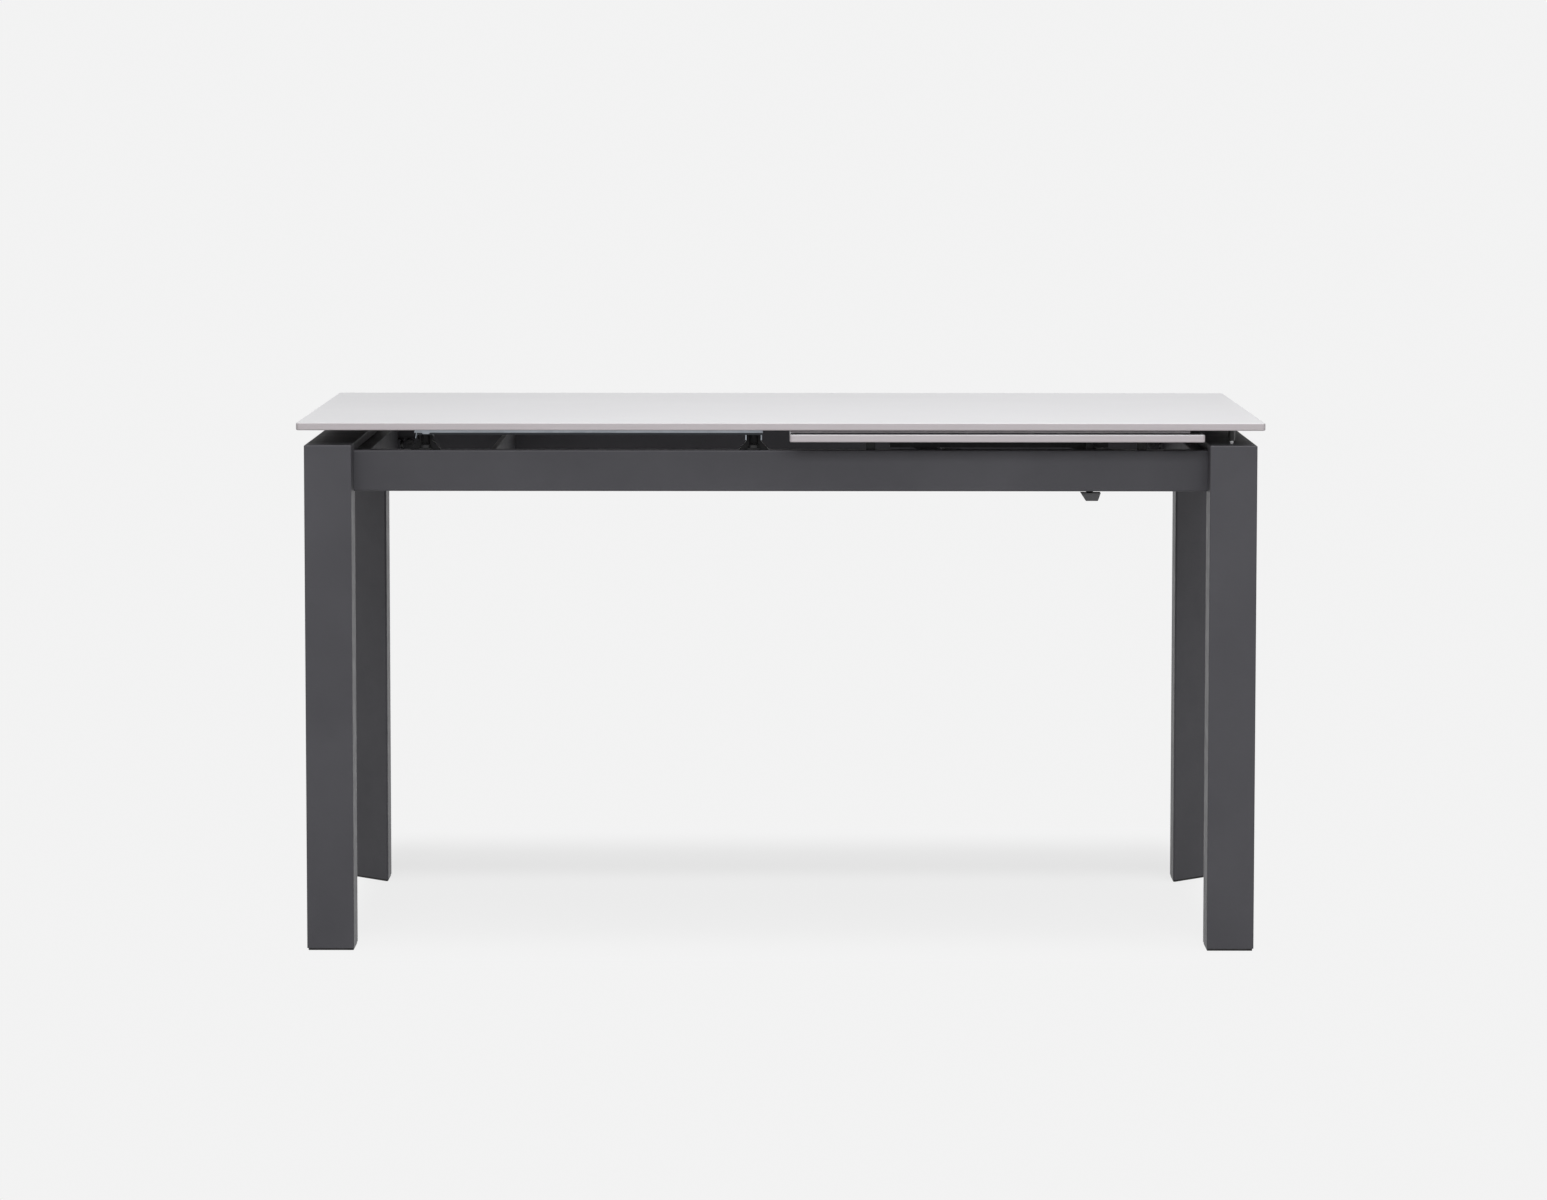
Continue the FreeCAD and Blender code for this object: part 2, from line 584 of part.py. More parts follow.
def make_slide_tab(place, side):
    """Tab bent down from the fixed member's web, beside a spacer's neck."""
    near = place + side * (SPACER_NECK / 2 + SLIDE_TAB_CLEARANCE)
    far = near + side * SLIDE_TAB_THICKNESS
    front = -APRON_CENTRE - SLIDE_OUTER_HALF + SLIDE_FOLD
    return box((min(near, far), max(near, far)), (front, front + SLIDE_TAB_DEPTH),
               (SLIDE_BOTTOM - SLIDE_TAB_DROP, SLIDE_BOTTOM + SLIDE_SHEET))


def make_slide_outer():
    """Fixed member with tabs round its spacers' necks, drilled for its spacer screws."""
    corners = [Vector(SLIDE_LEFT_END, y - APRON_CENTRE, z) for y, z in slide_outer_section()]
    length = SLIDE_RIGHT_END - SLIDE_LEFT_END
    member = Part.Face(Part.makePolygon(corners + corners[:1])).extrude(ALONG_X * length)
    tabs = [make_slide_tab(place, side) for place in SPACER_PLACES for side in (-1, 1)]
    holes = [rod(SPACER_SCREW_RADIUS + HOLE_CLEARANCE, (place, SPACER_SCREW_Y, SLIDE_BOTTOM),
                 (place, SPACER_SCREW_Y, SLIDE_BOTTOM + SLIDE_SHEET)) for place in SPACER_PLACES]
    return member.fuse(tabs).removeSplitter().cut(holes)


def make_slide_middle():
    return channel(SLIDE_MIDDLE_HALF, (MIDDLE_WEB_BOTTOM, MIDDLE_WEB_BOTTOM + SLIDE_SHEET),
                   (MIDDLE_WEB_BOTTOM, MIDDLE_WALL_TOP))


def make_slide_inner():
    return channel(SLIDE_INNER_HALF, (TOP_UNDERSIDE - SLIDE_SHEET, TOP_UNDERSIDE),
                   (INNER_WALL_BOTTOM, TOP_UNDERSIDE))


def make_ball_cage(outside_half):
    """Two strips of balls that run in the races inside the walls of a slide member."""
    left = SLIDE_LEFT_END + STAGE_TRAVEL / 2 + CAGE_END_MARGIN
    right = SLIDE_RIGHT_END - STAGE_TRAVEL / 2 - CAGE_END_MARGIN
    ball_count = max(1, int((right - left) / BALL_PITCH))
    pitch = (right - left) / ball_count
    reach = BALL_RADIUS + CAGE_MARGIN
    solids = []
    for side in (-1, 1):
        centre = -APRON_CENTRE + side * (outside_half - SLIDE_SHEET - SLIDE_RACE_GAP / 2)
        strip = box((left, right), (centre - CAGE_THICKNESS / 2, centre + CAGE_THICKNESS / 2),
                    (BALL_Z - reach, BALL_Z + reach))
        for number in range(ball_count):
            ball_x = left + pitch * (number + 0.5)
            strip = strip.cut(rod(BALL_RADIUS + BALL_CLEARANCE, (ball_x, centre - CAGE_THICKNESS, BALL_Z),
                                  (ball_x, centre + CAGE_THICKNESS, BALL_Z)))
            solids.append(Part.makeSphere(BALL_RADIUS, Vector(ball_x, centre, BALL_Z)))
        solids.append(strip)
    return solids


def foot_screw_line(place):
    """Seat and tip of the screw in a front spacer's foot flange."""
    screw_y = SPACER_FRONT - FOOT_SCREW_INSET
    seat = (place, screw_y, APRON_TOP + SPACER_FLANGE_THICKNESS)
    return seat, (place, screw_y, APRON_TOP - SPACER_SCREW_REACH)


def foot_screw_hole(place):
    return rod(SPACER_SCREW_RADIUS + HOLE_CLEARANCE, *foot_screw_line(place))


def make_foot_screw(place):
    """Button-head screw with a round socket."""
    seat, tip = foot_screw_line(place)
    head_top = Vector(*seat) + ALONG_Z * FOOT_SCREW_HEAD_HEIGHT
    head = rod(FOOT_SCREW_HEAD_RADIUS, seat, head_top)
    head = head.makeFillet(FOOT_SCREW_HEAD_EASING, edges_at_height(head, head_top.z))
    socket = rod(FOOT_SCREW_SOCKET_RADIUS, head_top - ALONG_Z * FOOT_SCREW_SOCKET_DEPTH, head_top)
    return rod(SPACER_SCREW_RADIUS, seat, tip).fuse(head.cut(socket))


def make_slide_spacer(place):
    """Tapered block with a straight neck, a foot flange in front and a groove for the foot screw's head."""
    half_base = SPACER_BASE / 2
    half_neck = SPACER_NECK / 2
    shoulder = APRON_TOP + SPACER_TAPER_HEIGHT
    profile = [(-half_base, APRON_TOP), (half_base, APRON_TOP), (half_neck, shoulder),
               (half_neck, SLIDE_BOTTOM), (-half_neck, SLIDE_BOTTOM), (-half_neck, shoulder)]
    corners = [Vector(place + x, SPACER_FRONT, z) for x, z in profile]
    block = Part.Face(Part.makePolygon(corners + corners[:1])).extrude(ALONG_Y * SPACER_DEPTH)
    flange = box((place - SPACER_FLANGE_WIDTH / 2, place + SPACER_FLANGE_WIDTH / 2),
                 (SPACER_FRONT - SPACER_FLANGE_REACH, SPACER_FRONT),
                 (APRON_TOP, APRON_TOP + SPACER_FLANGE_THICKNESS))
    hole = rod(SPACER_SCREW_RADIUS + HOLE_CLEARANCE, (place, SPACER_SCREW_Y, APRON_TOP),
               (place, SPACER_SCREW_Y, SLIDE_BOTTOM))
    seat = Vector(*foot_screw_line(place)[0])
    groove_top = Vector(seat.x, seat.y, SLIDE_BOTTOM)
    groove = rod(FOOT_SCREW_HEAD_RADIUS + FOOT_SCREW_HEAD_CLEARANCE, seat, groove_top)
    return block.fuse(flange).removeSplitter().cut([hole, foot_screw_hole(place), groove])


def make_spacer_screw(place):
    """Flat-head screw from the slide's web down through the spacer and the apron's top wall."""
    seat = SLIDE_BOTTOM + SLIDE_SHEET
    shank = rod(SPACER_SCREW_RADIUS, (place, SPACER_SCREW_Y, APRON_TOP - SPACER_SCREW_REACH),
                (place, SPACER_SCREW_Y, seat))
    head = rod(SPACER_SCREW_HEAD_RADIUS, (place, SPACER_SCREW_Y, seat),
               (place, SPACER_SCREW_Y, seat + SPACER_SCREW_HEAD_HEIGHT))
    return shank.fuse(head)


def make_leaf_pad(place):
    pad = box((place - PAD_LENGTH / 2, place + PAD_LENGTH / 2),
              (-APRON_CENTRE - PAD_DEPTH / 2, -APRON_CENTRE + PAD_DEPTH / 2),
              (APRON_TOP, LEAF_UNDERSIDE - REST_CLEARANCE))
    return pad.makeFillet(PANEL_EDGE_RADIUS, edges_along(pad, ALONG_Z))


def make_pile_strip():
    """Soft strip under the top, over the stored leaf's front edge, with a longer closed end at its left."""
    front = PILE_INSET - TOP_DEPTH / 2
    across = (front, front + PILE_WIDTH)
    strip = box((LEAF_LEFT_END, LEAF_RIGHT_END - PILE_RIGHT_GAP), across,
                (LEAF_TOP + PILE_LEAF_GAP, TOP_UNDERSIDE))
    end = box((LEAF_LEFT_END, LEAF_LEFT_END + PILE_END_LENGTH), across,
              (LEAF_TOP + REST_CLEARANCE, TOP_UNDERSIDE))
    return strip.fuse(end).removeSplitter()


BUMPER_TOP = TOP_UNDERSIDE - REST_CLEARANCE
BUMPER_BOTTOM = BUMPER_TOP - BUMPER_HEIGHT


def make_bumper_stud():
    """Stud in the right end beam, with a rounded collar that the bumper stands on."""
    shank = rod(STUD_RADIUS, (BUMPER_X, -BUMPER_Y, BEAM_TOP - STUD_BITE),
                (BUMPER_X, -BUMPER_Y, BUMPER_BOTTOM + STUD_REACH))
    collar = rod(STUD_COLLAR_RADIUS, (BUMPER_X, -BUMPER_Y, BEAM_TOP), (BUMPER_X, -BUMPER_Y, BUMPER_BOTTOM))
    collar = collar.makeFillet(STUD_COLLAR_EASING, edges_at_height(collar, BUMPER_BOTTOM))
    return shank.fuse(collar)


def make_bumper():
    """Clear buffer on the stud, just under the top."""
    buffer = rod(BUMPER_RADIUS, (BUMPER_X, -BUMPER_Y, BUMPER_BOTTOM), (BUMPER_X, -BUMPER_Y, BUMPER_TOP))
    buffer = buffer.makeFillet(BUMPER_EDGE_RADIUS, edges_at_height(buffer, BUMPER_TOP))
    socket = rod(STUD_RADIUS + STUD_CLEARANCE, (BUMPER_X, -BUMPER_Y, BUMPER_BOTTOM),
                 (BUMPER_X, -BUMPER_Y, BUMPER_BOTTOM + STUD_REACH + STUD_CLEARANCE))
    return buffer.cut(socket)


def make_bearing_plate(shaft_x):
    """Plate on the front apron's inner face that holds a shaft bush."""
    plate = box((shaft_x - PLATE_WIDTH / 2, shaft_x + PLATE_WIDTH / 2), (-APRON_INNER, -PLATE_INNER),
                (SHAFT_Z - PLATE_HEIGHT / 2, SHAFT_Z + PLATE_HEIGHT / 2))
    plate = plate.makeFillet(PLATE_EDGE_RADIUS, edges_along(plate, ALONG_Y))
    seat = rod(BUSH_RADIUS + BUSH_SEAT_CLEARANCE, (shaft_x, -APRON_INNER, SHAFT_Z),
               (shaft_x, -PLATE_INNER, SHAFT_Z))
    holes = [small_screw_hole(plate_screw_line(shaft_x, side)) for side in (-1, 1)]
    return plate.cut([seat] + holes)


def make_bush(shaft_x):
    """Flanged plain bearing for a shaft's front end."""
    flange_face = -PLATE_INNER + BUSH_FLANGE_THICKNESS
    sleeve = rod(BUSH_RADIUS, (shaft_x, -APRON_INNER, SHAFT_Z), (shaft_x, -PLATE_INNER, SHAFT_Z))
    flange = rod(BUSH_FLANGE_RADIUS, (shaft_x, -PLATE_INNER, SHAFT_Z), (shaft_x, flange_face, SHAFT_Z))
    bore = rod(SHAFT_RADIUS + SHAFT_RUNNING_CLEARANCE, (shaft_x, -APRON_INNER, SHAFT_Z),
               (shaft_x, flange_face, SHAFT_Z))
    return sleeve.fuse(flange).cut(bore)


def make_shaft(shaft_x):
    half = APRON_INNER - SHAFT_END_CLEARANCE
    return rod(SHAFT_RADIUS, (shaft_x, -half, SHAFT_Z), (shaft_x, half, SHAFT_Z))


def make_arm(shaft_x, pivot_x, eye_clearance):
    """Front lift arm: a flat bar from the shaft up to the leaf's pivot."""
    foot = rod(ARM_FOOT_RADIUS, (shaft_x, -ARM_OUTER, SHAFT_Z), (shaft_x, -ARM_INNER, SHAFT_Z))
    eye = rod(ARM_EYE_RADIUS, (pivot_x, -ARM_OUTER, PIVOT_Z), (pivot_x, -ARM_INNER, PIVOT_Z))
    bar = box((0, ARM_LENGTH), (-ARM_OUTER, -ARM_INNER), (-ARM_WIDTH / 2, ARM_WIDTH / 2))
    bar.rotate(Vector(), ALONG_Y, -math.degrees(ARM_REST_ANGLE))
    bar.translate(Vector(shaft_x, 0, SHAFT_Z))
    shaft_bore = rod(SHAFT_RADIUS + SHAFT_SEAT_CLEARANCE, (shaft_x, -ARM_OUTER, SHAFT_Z),
                     (shaft_x, -ARM_INNER, SHAFT_Z))
    pivot_bore = rod(PIVOT_RADIUS + eye_clearance, (pivot_x, -ARM_OUTER, PIVOT_Z),
                     (pivot_x, -ARM_INNER, PIVOT_Z))
    return bar.fuse([foot, eye]).removeSplitter().cut([shaft_bore, pivot_bore])


def make_leaf_rail():
    """Box tube under the leaf, drilled for the pivot pins."""
    left = PIVOT_PLACES[0] - RAIL_LEFT_REACH
    right = PIVOT_PLACES[1] + RAIL_RIGHT_REACH
    rail = box((left, right), (-RAIL_OUTER, -RAIL_INNER), (RAIL_BOTTOM, LEAF_UNDERSIDE))
    hollow = box((left, right), (-RAIL_OUTER + RAIL_WALL, -RAIL_INNER - RAIL_WALL),
                 (RAIL_BOTTOM + RAIL_WALL, LEAF_UNDERSIDE - RAIL_WALL))
    holes = [rod(PIVOT_RADIUS + PIVOT_RUNNING_CLEARANCE, (place, -RAIL_OUTER, PIVOT_Z),
                 (place, -RAIL_INNER, PIVOT_Z)) for place in PIVOT_PLACES]
    return rail.cut([hollow] + holes)


CLIP_FRONT = CLIP_GAP - ARM_INNER
CLIP_BACK = CLIP_FRONT + CLIP_THICKNESS


def make_pivot_pin(place):
    """Headed pin through the front rail and a lift arm."""
    head = rod(PIVOT_HEAD_RADIUS, (place, -RAIL_OUTER - PIVOT_HEAD_HEIGHT, PIVOT_Z),
               (place, -RAIL_OUTER, PIVOT_Z))
    shank = rod(PIVOT_RADIUS, (place, -RAIL_OUTER, PIVOT_Z), (place, CLIP_BACK + PIVOT_TAIL, PIVOT_Z))
    return head.fuse(shank)


def make_pivot_clip(place):
    """Retaining ring on a pin's inner end."""
    ring = rod(CLIP_RADIUS, (place, CLIP_FRONT, PIVOT_Z), (place, CLIP_BACK, PIVOT_Z))
    return ring.cut(rod(PIVOT_RADIUS + PIVOT_RUNNING_CLEARANCE, (place, CLIP_FRONT, PIVOT_Z),
                        (place, CLIP_BACK, PIVOT_Z)))


def make_latch_keeper():
    """Angle on the front rail that the latch's nose stands over."""
    width = (LATCH_X - KEEPER_HALF_WIDTH, LATCH_X + KEEPER_HALF_WIDTH)
    lip = box(width, (-RAIL_OUTER - KEEPER_LIP, -RAIL_OUTER), (KEEPER_BOTTOM, KEEPER_BOTTOM + KEEPER_SHEET))
    tab = box(width, (-RAIL_OUTER - KEEPER_TAB_SHEET, -RAIL_OUTER),
              (KEEPER_BOTTOM, KEEPER_BOTTOM + KEEPER_TAB_HEIGHT))
    return lip.fuse(tab).removeSplitter()


def latch_pin_hole(radius):
    return rod(radius, (LATCH_X - LATCH_PLATE_WIDTH, LATCH_PIVOT_Y, LATCH_PIVOT_Z),
               (LATCH_X + LATCH_PLATE_WIDTH, LATCH_PIVOT_Y, LATCH_PIVOT_Z))


def make_latch_bracket():
    """Base plate with two ears for the latch pin."""
    half = LATCH_PLATE_WIDTH / 2
    base = box((LATCH_X - half, LATCH_X + half), (-APRON_INNER, LATCH_PLATE_INNER),
               (LATCH_PIVOT_Z - LATCH_PLATE_FALL, LATCH_PIVOT_Z + LATCH_PLATE_RISE))
    ears = []
    for inner in (EAR_INNER_LEFT - LATCH_EAR_THICKNESS, EAR_INNER_RIGHT):
        ears.append(box((inner, inner + LATCH_EAR_THICKNESS), (-APRON_INNER, LATCH_PIVOT_Y + LATCH_EAR_LIP),
                        (LATCH_PIVOT_Z - LATCH_EAR_HALF_HEIGHT, LATCH_PIVOT_Z + LATCH_EAR_HALF_HEIGHT)))
    bracket = base.fuse(ears).removeSplitter()
    holes = [small_screw_hole(latch_screw_line(side)) for side in (-1, 1)]
    return bracket.cut(holes + [latch_pin_hole(LATCH_PIN_RADIUS + LATCH_PIN_CLEARANCE)])


def make_latch_pin():
    left = EAR_INNER_LEFT - LATCH_EAR_THICKNESS
    right = EAR_INNER_RIGHT + LATCH_EAR_THICKNESS
    shank = rod(LATCH_PIN_RADIUS, (left, LATCH_PIVOT_Y, LATCH_PIVOT_Z), (right, LATCH_PIVOT_Y, LATCH_PIVOT_Z))
    head = rod(LATCH_PIN_HEAD_RADIUS, (left - LATCH_PIN_HEAD_HEIGHT, LATCH_PIVOT_Y, LATCH_PIVOT_Z),
               (left, LATCH_PIVOT_Y, LATCH_PIVOT_Z))
    return shank.fuse(head)


def make_latch_spring():
    """Torsion spring beside the lever: close-wound turns round the pin and a leg to the base plate."""
    pitch = 2 * SPRING_WIRE_RADIUS + SPRING_TURN_GAP
    last = EAR_INNER_RIGHT - SPRING_WIRE_RADIUS - SPRING_TURN_GAP
    solids = []
    for number in range(SPRING_TURNS):
        centre = Vector(last - pitch * number, LATCH_PIVOT_Y, LATCH_PIVOT_Z)
        solids.append(Part.makeTorus(SPRING_COIL_RADIUS, SPRING_WIRE_RADIUS, centre, Vector(1, 0, 0)))
    leg_start = (last, LATCH_PIVOT_Y - SPRING_COIL_RADIUS, LATCH_PIVOT_Z)
    leg_end = (last, LATCH_PLATE_INNER + SPRING_WIRE_RADIUS * 2, LATCH_PIVOT_Z + LATCH_SCREW_FALL)
    solids[0] = solids[0].fuse(rod(SPRING_WIRE_RADIUS, leg_start, leg_end))
    return solids


def make_latch_lever():
    """Hook above the pivot, tail and tongue below it, cut from one bar."""
    width = (LEVER_LEFT, LEVER_RIGHT)
    bar = box(width, (LEVER_FRONT, LEVER_BACK), (TONGUE_BOTTOM, NOSE_TOP))
    nose = box(width, (LEVER_BACK, LEVER_BACK + NOSE_LENGTH), (NOSE_BOTTOM, NOSE_TOP))
    tongue = box(width, (TONGUE_FRONT, LEVER_FRONT), (TONGUE_BOTTOM, TONGUE_TOP))
    hub = rod(LEVER_HUB_RADIUS, (LEVER_LEFT, LATCH_PIVOT_Y, LATCH_PIVOT_Z),
              (LEVER_RIGHT, LATCH_PIVOT_Y, LATCH_PIVOT_Z))
    lever = bar.fuse([nose, tongue, hub]).removeSplitter()
    return lever.cut(latch_pin_hole(LATCH_PIN_RADIUS + LATCH_PIN_CLEARANCE))


def make_latch_grip():
    """Tapered finger grip under the front apron, slotted for the lever's tongue."""
    rims = []
    for middle, width, depth, height in (
            (GRIP_X, GRIP_TOP_WIDTH, GRIP_TOP_DEPTH, GRIP_TOP),
            (GRIP_X + GRIP_BOTTOM_SHIFT, GRIP_BOTTOM_WIDTH, GRIP_BOTTOM_DEPTH, GRIP_BOTTOM)):
        corners = [Vector(middle + x * width / 2, GRIP_Y + y * depth / 2, height)
                   for x, y in ((-1, -1), (1, -1), (1, 1), (-1, 1))]
        rims.append(Part.makePolygon(corners + corners[:1]))
    grip = Part.makeLoft(rims, True)
    grip = grip.makeFillet(GRIP_EDGE_RADIUS, edges_at_height(grip, GRIP_BOTTOM))
    slot = box((LEVER_LEFT - TONGUE_CLEARANCE, LEVER_RIGHT + TONGUE_CLEARANCE),
               (TONGUE_FRONT - TONGUE_CLEARANCE, GRIP_Y + GRIP_TOP_DEPTH),
               (TONGUE_BOTTOM - TONGUE_CLEARANCE, TONGUE_TOP + TONGUE_CLEARANCE))
    return grip.cut(slot)


# Legs, feet and end beams
front_left_leg = make_leg()
save("front_left_leg", front_left_leg)
save("back_left_leg", to_back(front_left_leg))
save("front_right_leg", to_right(front_left_leg))
save("back_right_leg", to_right(to_back(front_left_leg)))
save("foot_caps", *four_corners(make_foot_cap()))
save("left_end_beam", make_left_beam())
save("right_end_beam", make_right_beam())

# Aprons, cross tubes and corner brackets
save("front_apron", make_front_apron())
save("back_apron", to_back(make_plain_apron()))
left_cross_tube = make_end_cross_tube()
save("left_cross_tube", left_cross_tube)
save("right_cross_tube", to_right(left_cross_tube))
save("middle_cross_tube", make_cross_tube(MIDDLE_CROSS_TUBE_GAP - END_TUBE_INNER, MIDDLE_CROSS_TUBE_WIDTH))
save("corner_brackets", *four_corners(make_corner_bracket()))
save("corner_bolts", *[placed for bolt in make_corner_bolts() for placed in four_corners(bolt)])

# Slides, their spacers and their balls
for side, place_side in (("front", lambda shape: shape), ("back", to_back)):
    save(f"{side}_slide_outer", place_side(make_slide_outer()))
    save(f"{side}_slide_middle", place_side(make_slide_middle()))
    save(f"{side}_slide_inner", place_side(make_slide_inner()))
    save(f"{side}_outer_ball_cage", *[place_side(solid) for solid in make_ball_cage(SLIDE_OUTER_HALF)])
    save(f"{side}_inner_ball_cage", *[place_side(solid) for solid in make_ball_cage(SLIDE_MIDDLE_HALF)])
for node, make_piece in (("slide_spacers", make_slide_spacer), ("spacer_foot_screws", make_foot_screw),
                         ("spacer_screws", make_spacer_screw)):
    save(node, *[solid for place in SPACER_PLACES for solid in front_and_back(make_piece(place))])

# Top, leaf and what they rest on
half_length = TOP_LENGTH / 2
save("main_top_panel", eased_panel((-half_length, half_length), (TOP_UNDERSIDE, TABLE_HEIGHT)))
save("leaf_panel", eased_panel((LEAF_LEFT_END, LEAF_RIGHT_END), (LEAF_UNDERSIDE, LEAF_TOP)))
save("leaf_pile_strips", *front_and_back(make_pile_strip()))
save("leaf_rest_pads", *[solid for place in PAD_PLACES for solid in front_and_back(make_leaf_pad(place))])
save("bumper_studs", *front_and_back(make_bumper_stud()))
save("top_bumpers", *front_and_back(make_bumper()))

# Leaf lift
front_rail = make_leaf_rail()
save("front_leaf_rail", front_rail)
save("back_leaf_rail", to_back(front_rail))
save("leaf_pivot_pins", *[pin for place in PIVOT_PLACES for pin in front_and_back(make_pivot_pin(place))])
save("leaf_pivot_clips", *[clip for place in PIVOT_PLACES for clip in front_and_back(make_pivot_clip(place))])
eye_clearances = (PIVOT_RUNNING_CLEARANCE, PIVOT_OPEN_CLEARANCE)
ends = ("left", "right")
for end, shaft_x, pivot_x, clearance in zip(ends, SHAFT_PLACES, PIVOT_PLACES, eye_clearances):
    arm = make_arm(shaft_x, pivot_x, clearance)
    save(f"{end}_lift_shaft", make_shaft(shaft_x))
    save(f"front_{end}_lift_arm", arm)
    save(f"back_{end}_lift_arm", to_back(arm))
save("shaft_bearing_plates", *[solid for x in SHAFT_PLACES for solid in front_and_back(make_bearing_plate(x))])
save("shaft_bushes", *[solid for x in SHAFT_PLACES for solid in front_and_back(make_bush(x))])
plate_screws = [make_small_screw(plate_screw_line(x, side)) for x in SHAFT_PLACES for side in (-1, 1)]
save("bearing_plate_screws", *[solid for screw in plate_screws for solid in front_and_back(screw)])

# Leaf latch
save("latch_keeper", make_latch_keeper())
save("latch_bracket", make_latch_bracket())
save("latch_pin", make_latch_pin())
save("latch_spring", *make_latch_spring())
save("latch_bracket_screws", *[make_small_screw(latch_screw_line(side)) for side in (-1, 1)])
save("latch_lever", make_latch_lever())
save("latch_grip", make_latch_grip())
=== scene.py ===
import json
import math

import bmesh
import bpy
from mathutils import Matrix, Vector, noise as pattern


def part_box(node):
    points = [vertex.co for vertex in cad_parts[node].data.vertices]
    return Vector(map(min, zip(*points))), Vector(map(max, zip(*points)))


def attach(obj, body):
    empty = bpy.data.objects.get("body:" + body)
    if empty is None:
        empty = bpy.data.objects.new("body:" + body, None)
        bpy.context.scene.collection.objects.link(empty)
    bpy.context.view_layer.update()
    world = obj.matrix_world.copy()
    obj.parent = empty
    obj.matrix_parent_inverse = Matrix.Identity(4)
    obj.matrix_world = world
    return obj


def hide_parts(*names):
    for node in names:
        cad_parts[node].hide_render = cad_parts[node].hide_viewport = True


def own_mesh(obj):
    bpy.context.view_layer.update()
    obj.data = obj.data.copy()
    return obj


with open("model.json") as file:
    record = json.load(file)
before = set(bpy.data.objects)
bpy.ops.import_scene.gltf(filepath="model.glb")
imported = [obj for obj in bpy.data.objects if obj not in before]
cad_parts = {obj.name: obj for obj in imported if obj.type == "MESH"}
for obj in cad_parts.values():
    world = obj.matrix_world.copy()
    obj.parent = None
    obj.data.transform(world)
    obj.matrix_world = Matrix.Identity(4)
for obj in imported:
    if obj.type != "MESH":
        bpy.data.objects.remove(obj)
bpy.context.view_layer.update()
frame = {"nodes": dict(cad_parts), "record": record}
nodes = frame["nodes"]

# Camera, in metres and degrees; untilted it looks straight down
CAMERA_PLACE = (0.0057, -8.5052, 1.2540)
CAMERA_LEVEL_TILT = 90.0
CAMERA_PITCH_DOWN = 5.22
CAMERA_YAW = -0.112
CAMERA_ROLL = 0.03
CAMERA_LENS = 130.87
SENSOR_WIDTH = 36.0

# Studio: a pale backdrop, and a floor that shows part of the real shade between the legs
BACKDROP = (0.893, 0.893, 0.893, 1.0)
AMBIENT_COLOUR = (1.0, 0.995, 0.99, 1.0)
AMBIENT_STRENGTH = 0.33
FLOOR_SIZE = 120.0
FLOOR_COLOUR = (0.92, 0.92, 0.92, 1.0)
FLOOR_BOUNCE = (0.50, 0.50, 0.50, 1.0)
SHADE_SHARE = 0.27
SHADE_NEAR_PART = 0.45
SHADE_SIDES = (0.62, 0.70)
SHADE_FRONT = (-0.50, -0.15)
SHADE_BAND = (0.30, 0.52)
SHADE_BACK = (0.62, 0.95)

# Lamps: name, place, aim, size across and along, watts, whether it shows in gloss
LAMPS = (
    ("overhead_key", (0.45, -0.9, 3.4), (0.1, 0.0, 0.75), 2.6, 2.2, 46.0, True),
    ("front_box", (0.1, -3.8, 2.15), (0.0, -0.4, 0.75), 3.2, 1.0, 76.0, False),
    ("back_fill", (0.5, 3.6, 3.2), (0.0, 0.0, 0.5), 3.0, 1.8, 20.0, False),
)

# Finishes, as linear colours
POWDER_DARK = (0.070, 0.069, 0.077, 1.0)
POWDER_LIGHT = (0.083, 0.082, 0.091, 1.0)
# The upper arrises' colour is a painted highlight
POWDER_ARRIS_HIGHLIGHT = (0.128, 0.126, 0.138, 1.0)
PANEL_DARK = (0.668, 0.665, 0.681, 1.0)
PANEL_LIGHT = (0.708, 0.705, 0.721, 1.0)
PANEL_EDGE_DARK = (0.470, 0.432, 0.448, 1.0)
PANEL_EDGE_LIGHT = (0.508, 0.474, 0.490, 1.0)
PANEL_UNDER_DARK = (0.205, 0.190, 0.195, 1.0)
PANEL_UNDER_LIGHT = (0.245, 0.228, 0.232, 1.0)
ZINC_DARK = (0.27, 0.295, 0.325, 1.0)
ZINC_LIGHT = (0.41, 0.445, 0.485, 1.0)
# Painted shade on the zinc's faces that look down
ZINC_UNDER_SHADE = (0.085, 0.090, 0.098, 1.0)
# Painted shade on the tabs at the slides' left end
TAB_SHADE = (0.018, 0.018, 0.019, 1.0)
STEEL_DARK = (0.50, 0.50, 0.51, 1.0)
STEEL_LIGHT = (0.64, 0.64, 0.65, 1.0)
PLATE_DARK = (0.42, 0.42, 0.41, 1.0)
PLATE_LIGHT = (0.56, 0.56, 0.54, 1.0)
BLACK_DARK = (0.012, 0.012, 0.013, 1.0)
BLACK_LIGHT = (0.020, 0.020, 0.022, 1.0)
PLASTIC_DARK = (0.019, 0.019, 0.020, 1.0)
PLASTIC_LIGHT = (0.027, 0.027, 0.028, 1.0)
GRIP_DARK = (0.055, 0.055, 0.058, 1.0)
GRIP_LIGHT = (0.070, 0.070, 0.074, 1.0)
RUBBER_DARK = (0.010, 0.010, 0.010, 1.0)
RUBBER_LIGHT = (0.022, 0.022, 0.023, 1.0)
BUFFER_DARK = (0.010, 0.010, 0.011, 1.0)
BUFFER_LIGHT = (0.018, 0.018, 0.019, 1.0)
PILE_DARK = (0.34, 0.315, 0.330, 1.0)
PILE_LIGHT = (0.52, 0.485, 0.505, 1.0)
PILE_END_DARK = (0.50, 0.50, 0.51, 1.0)
PILE_END_LIGHT = (0.58, 0.58, 0.59, 1.0)

# Specular levels, and the pile's sheen
PAINT_SHINE = 0.25
MOULDING_SHINE = 0.5
PLASTIC_SHINE = 0.12
PILE_SHEEN = 0.3

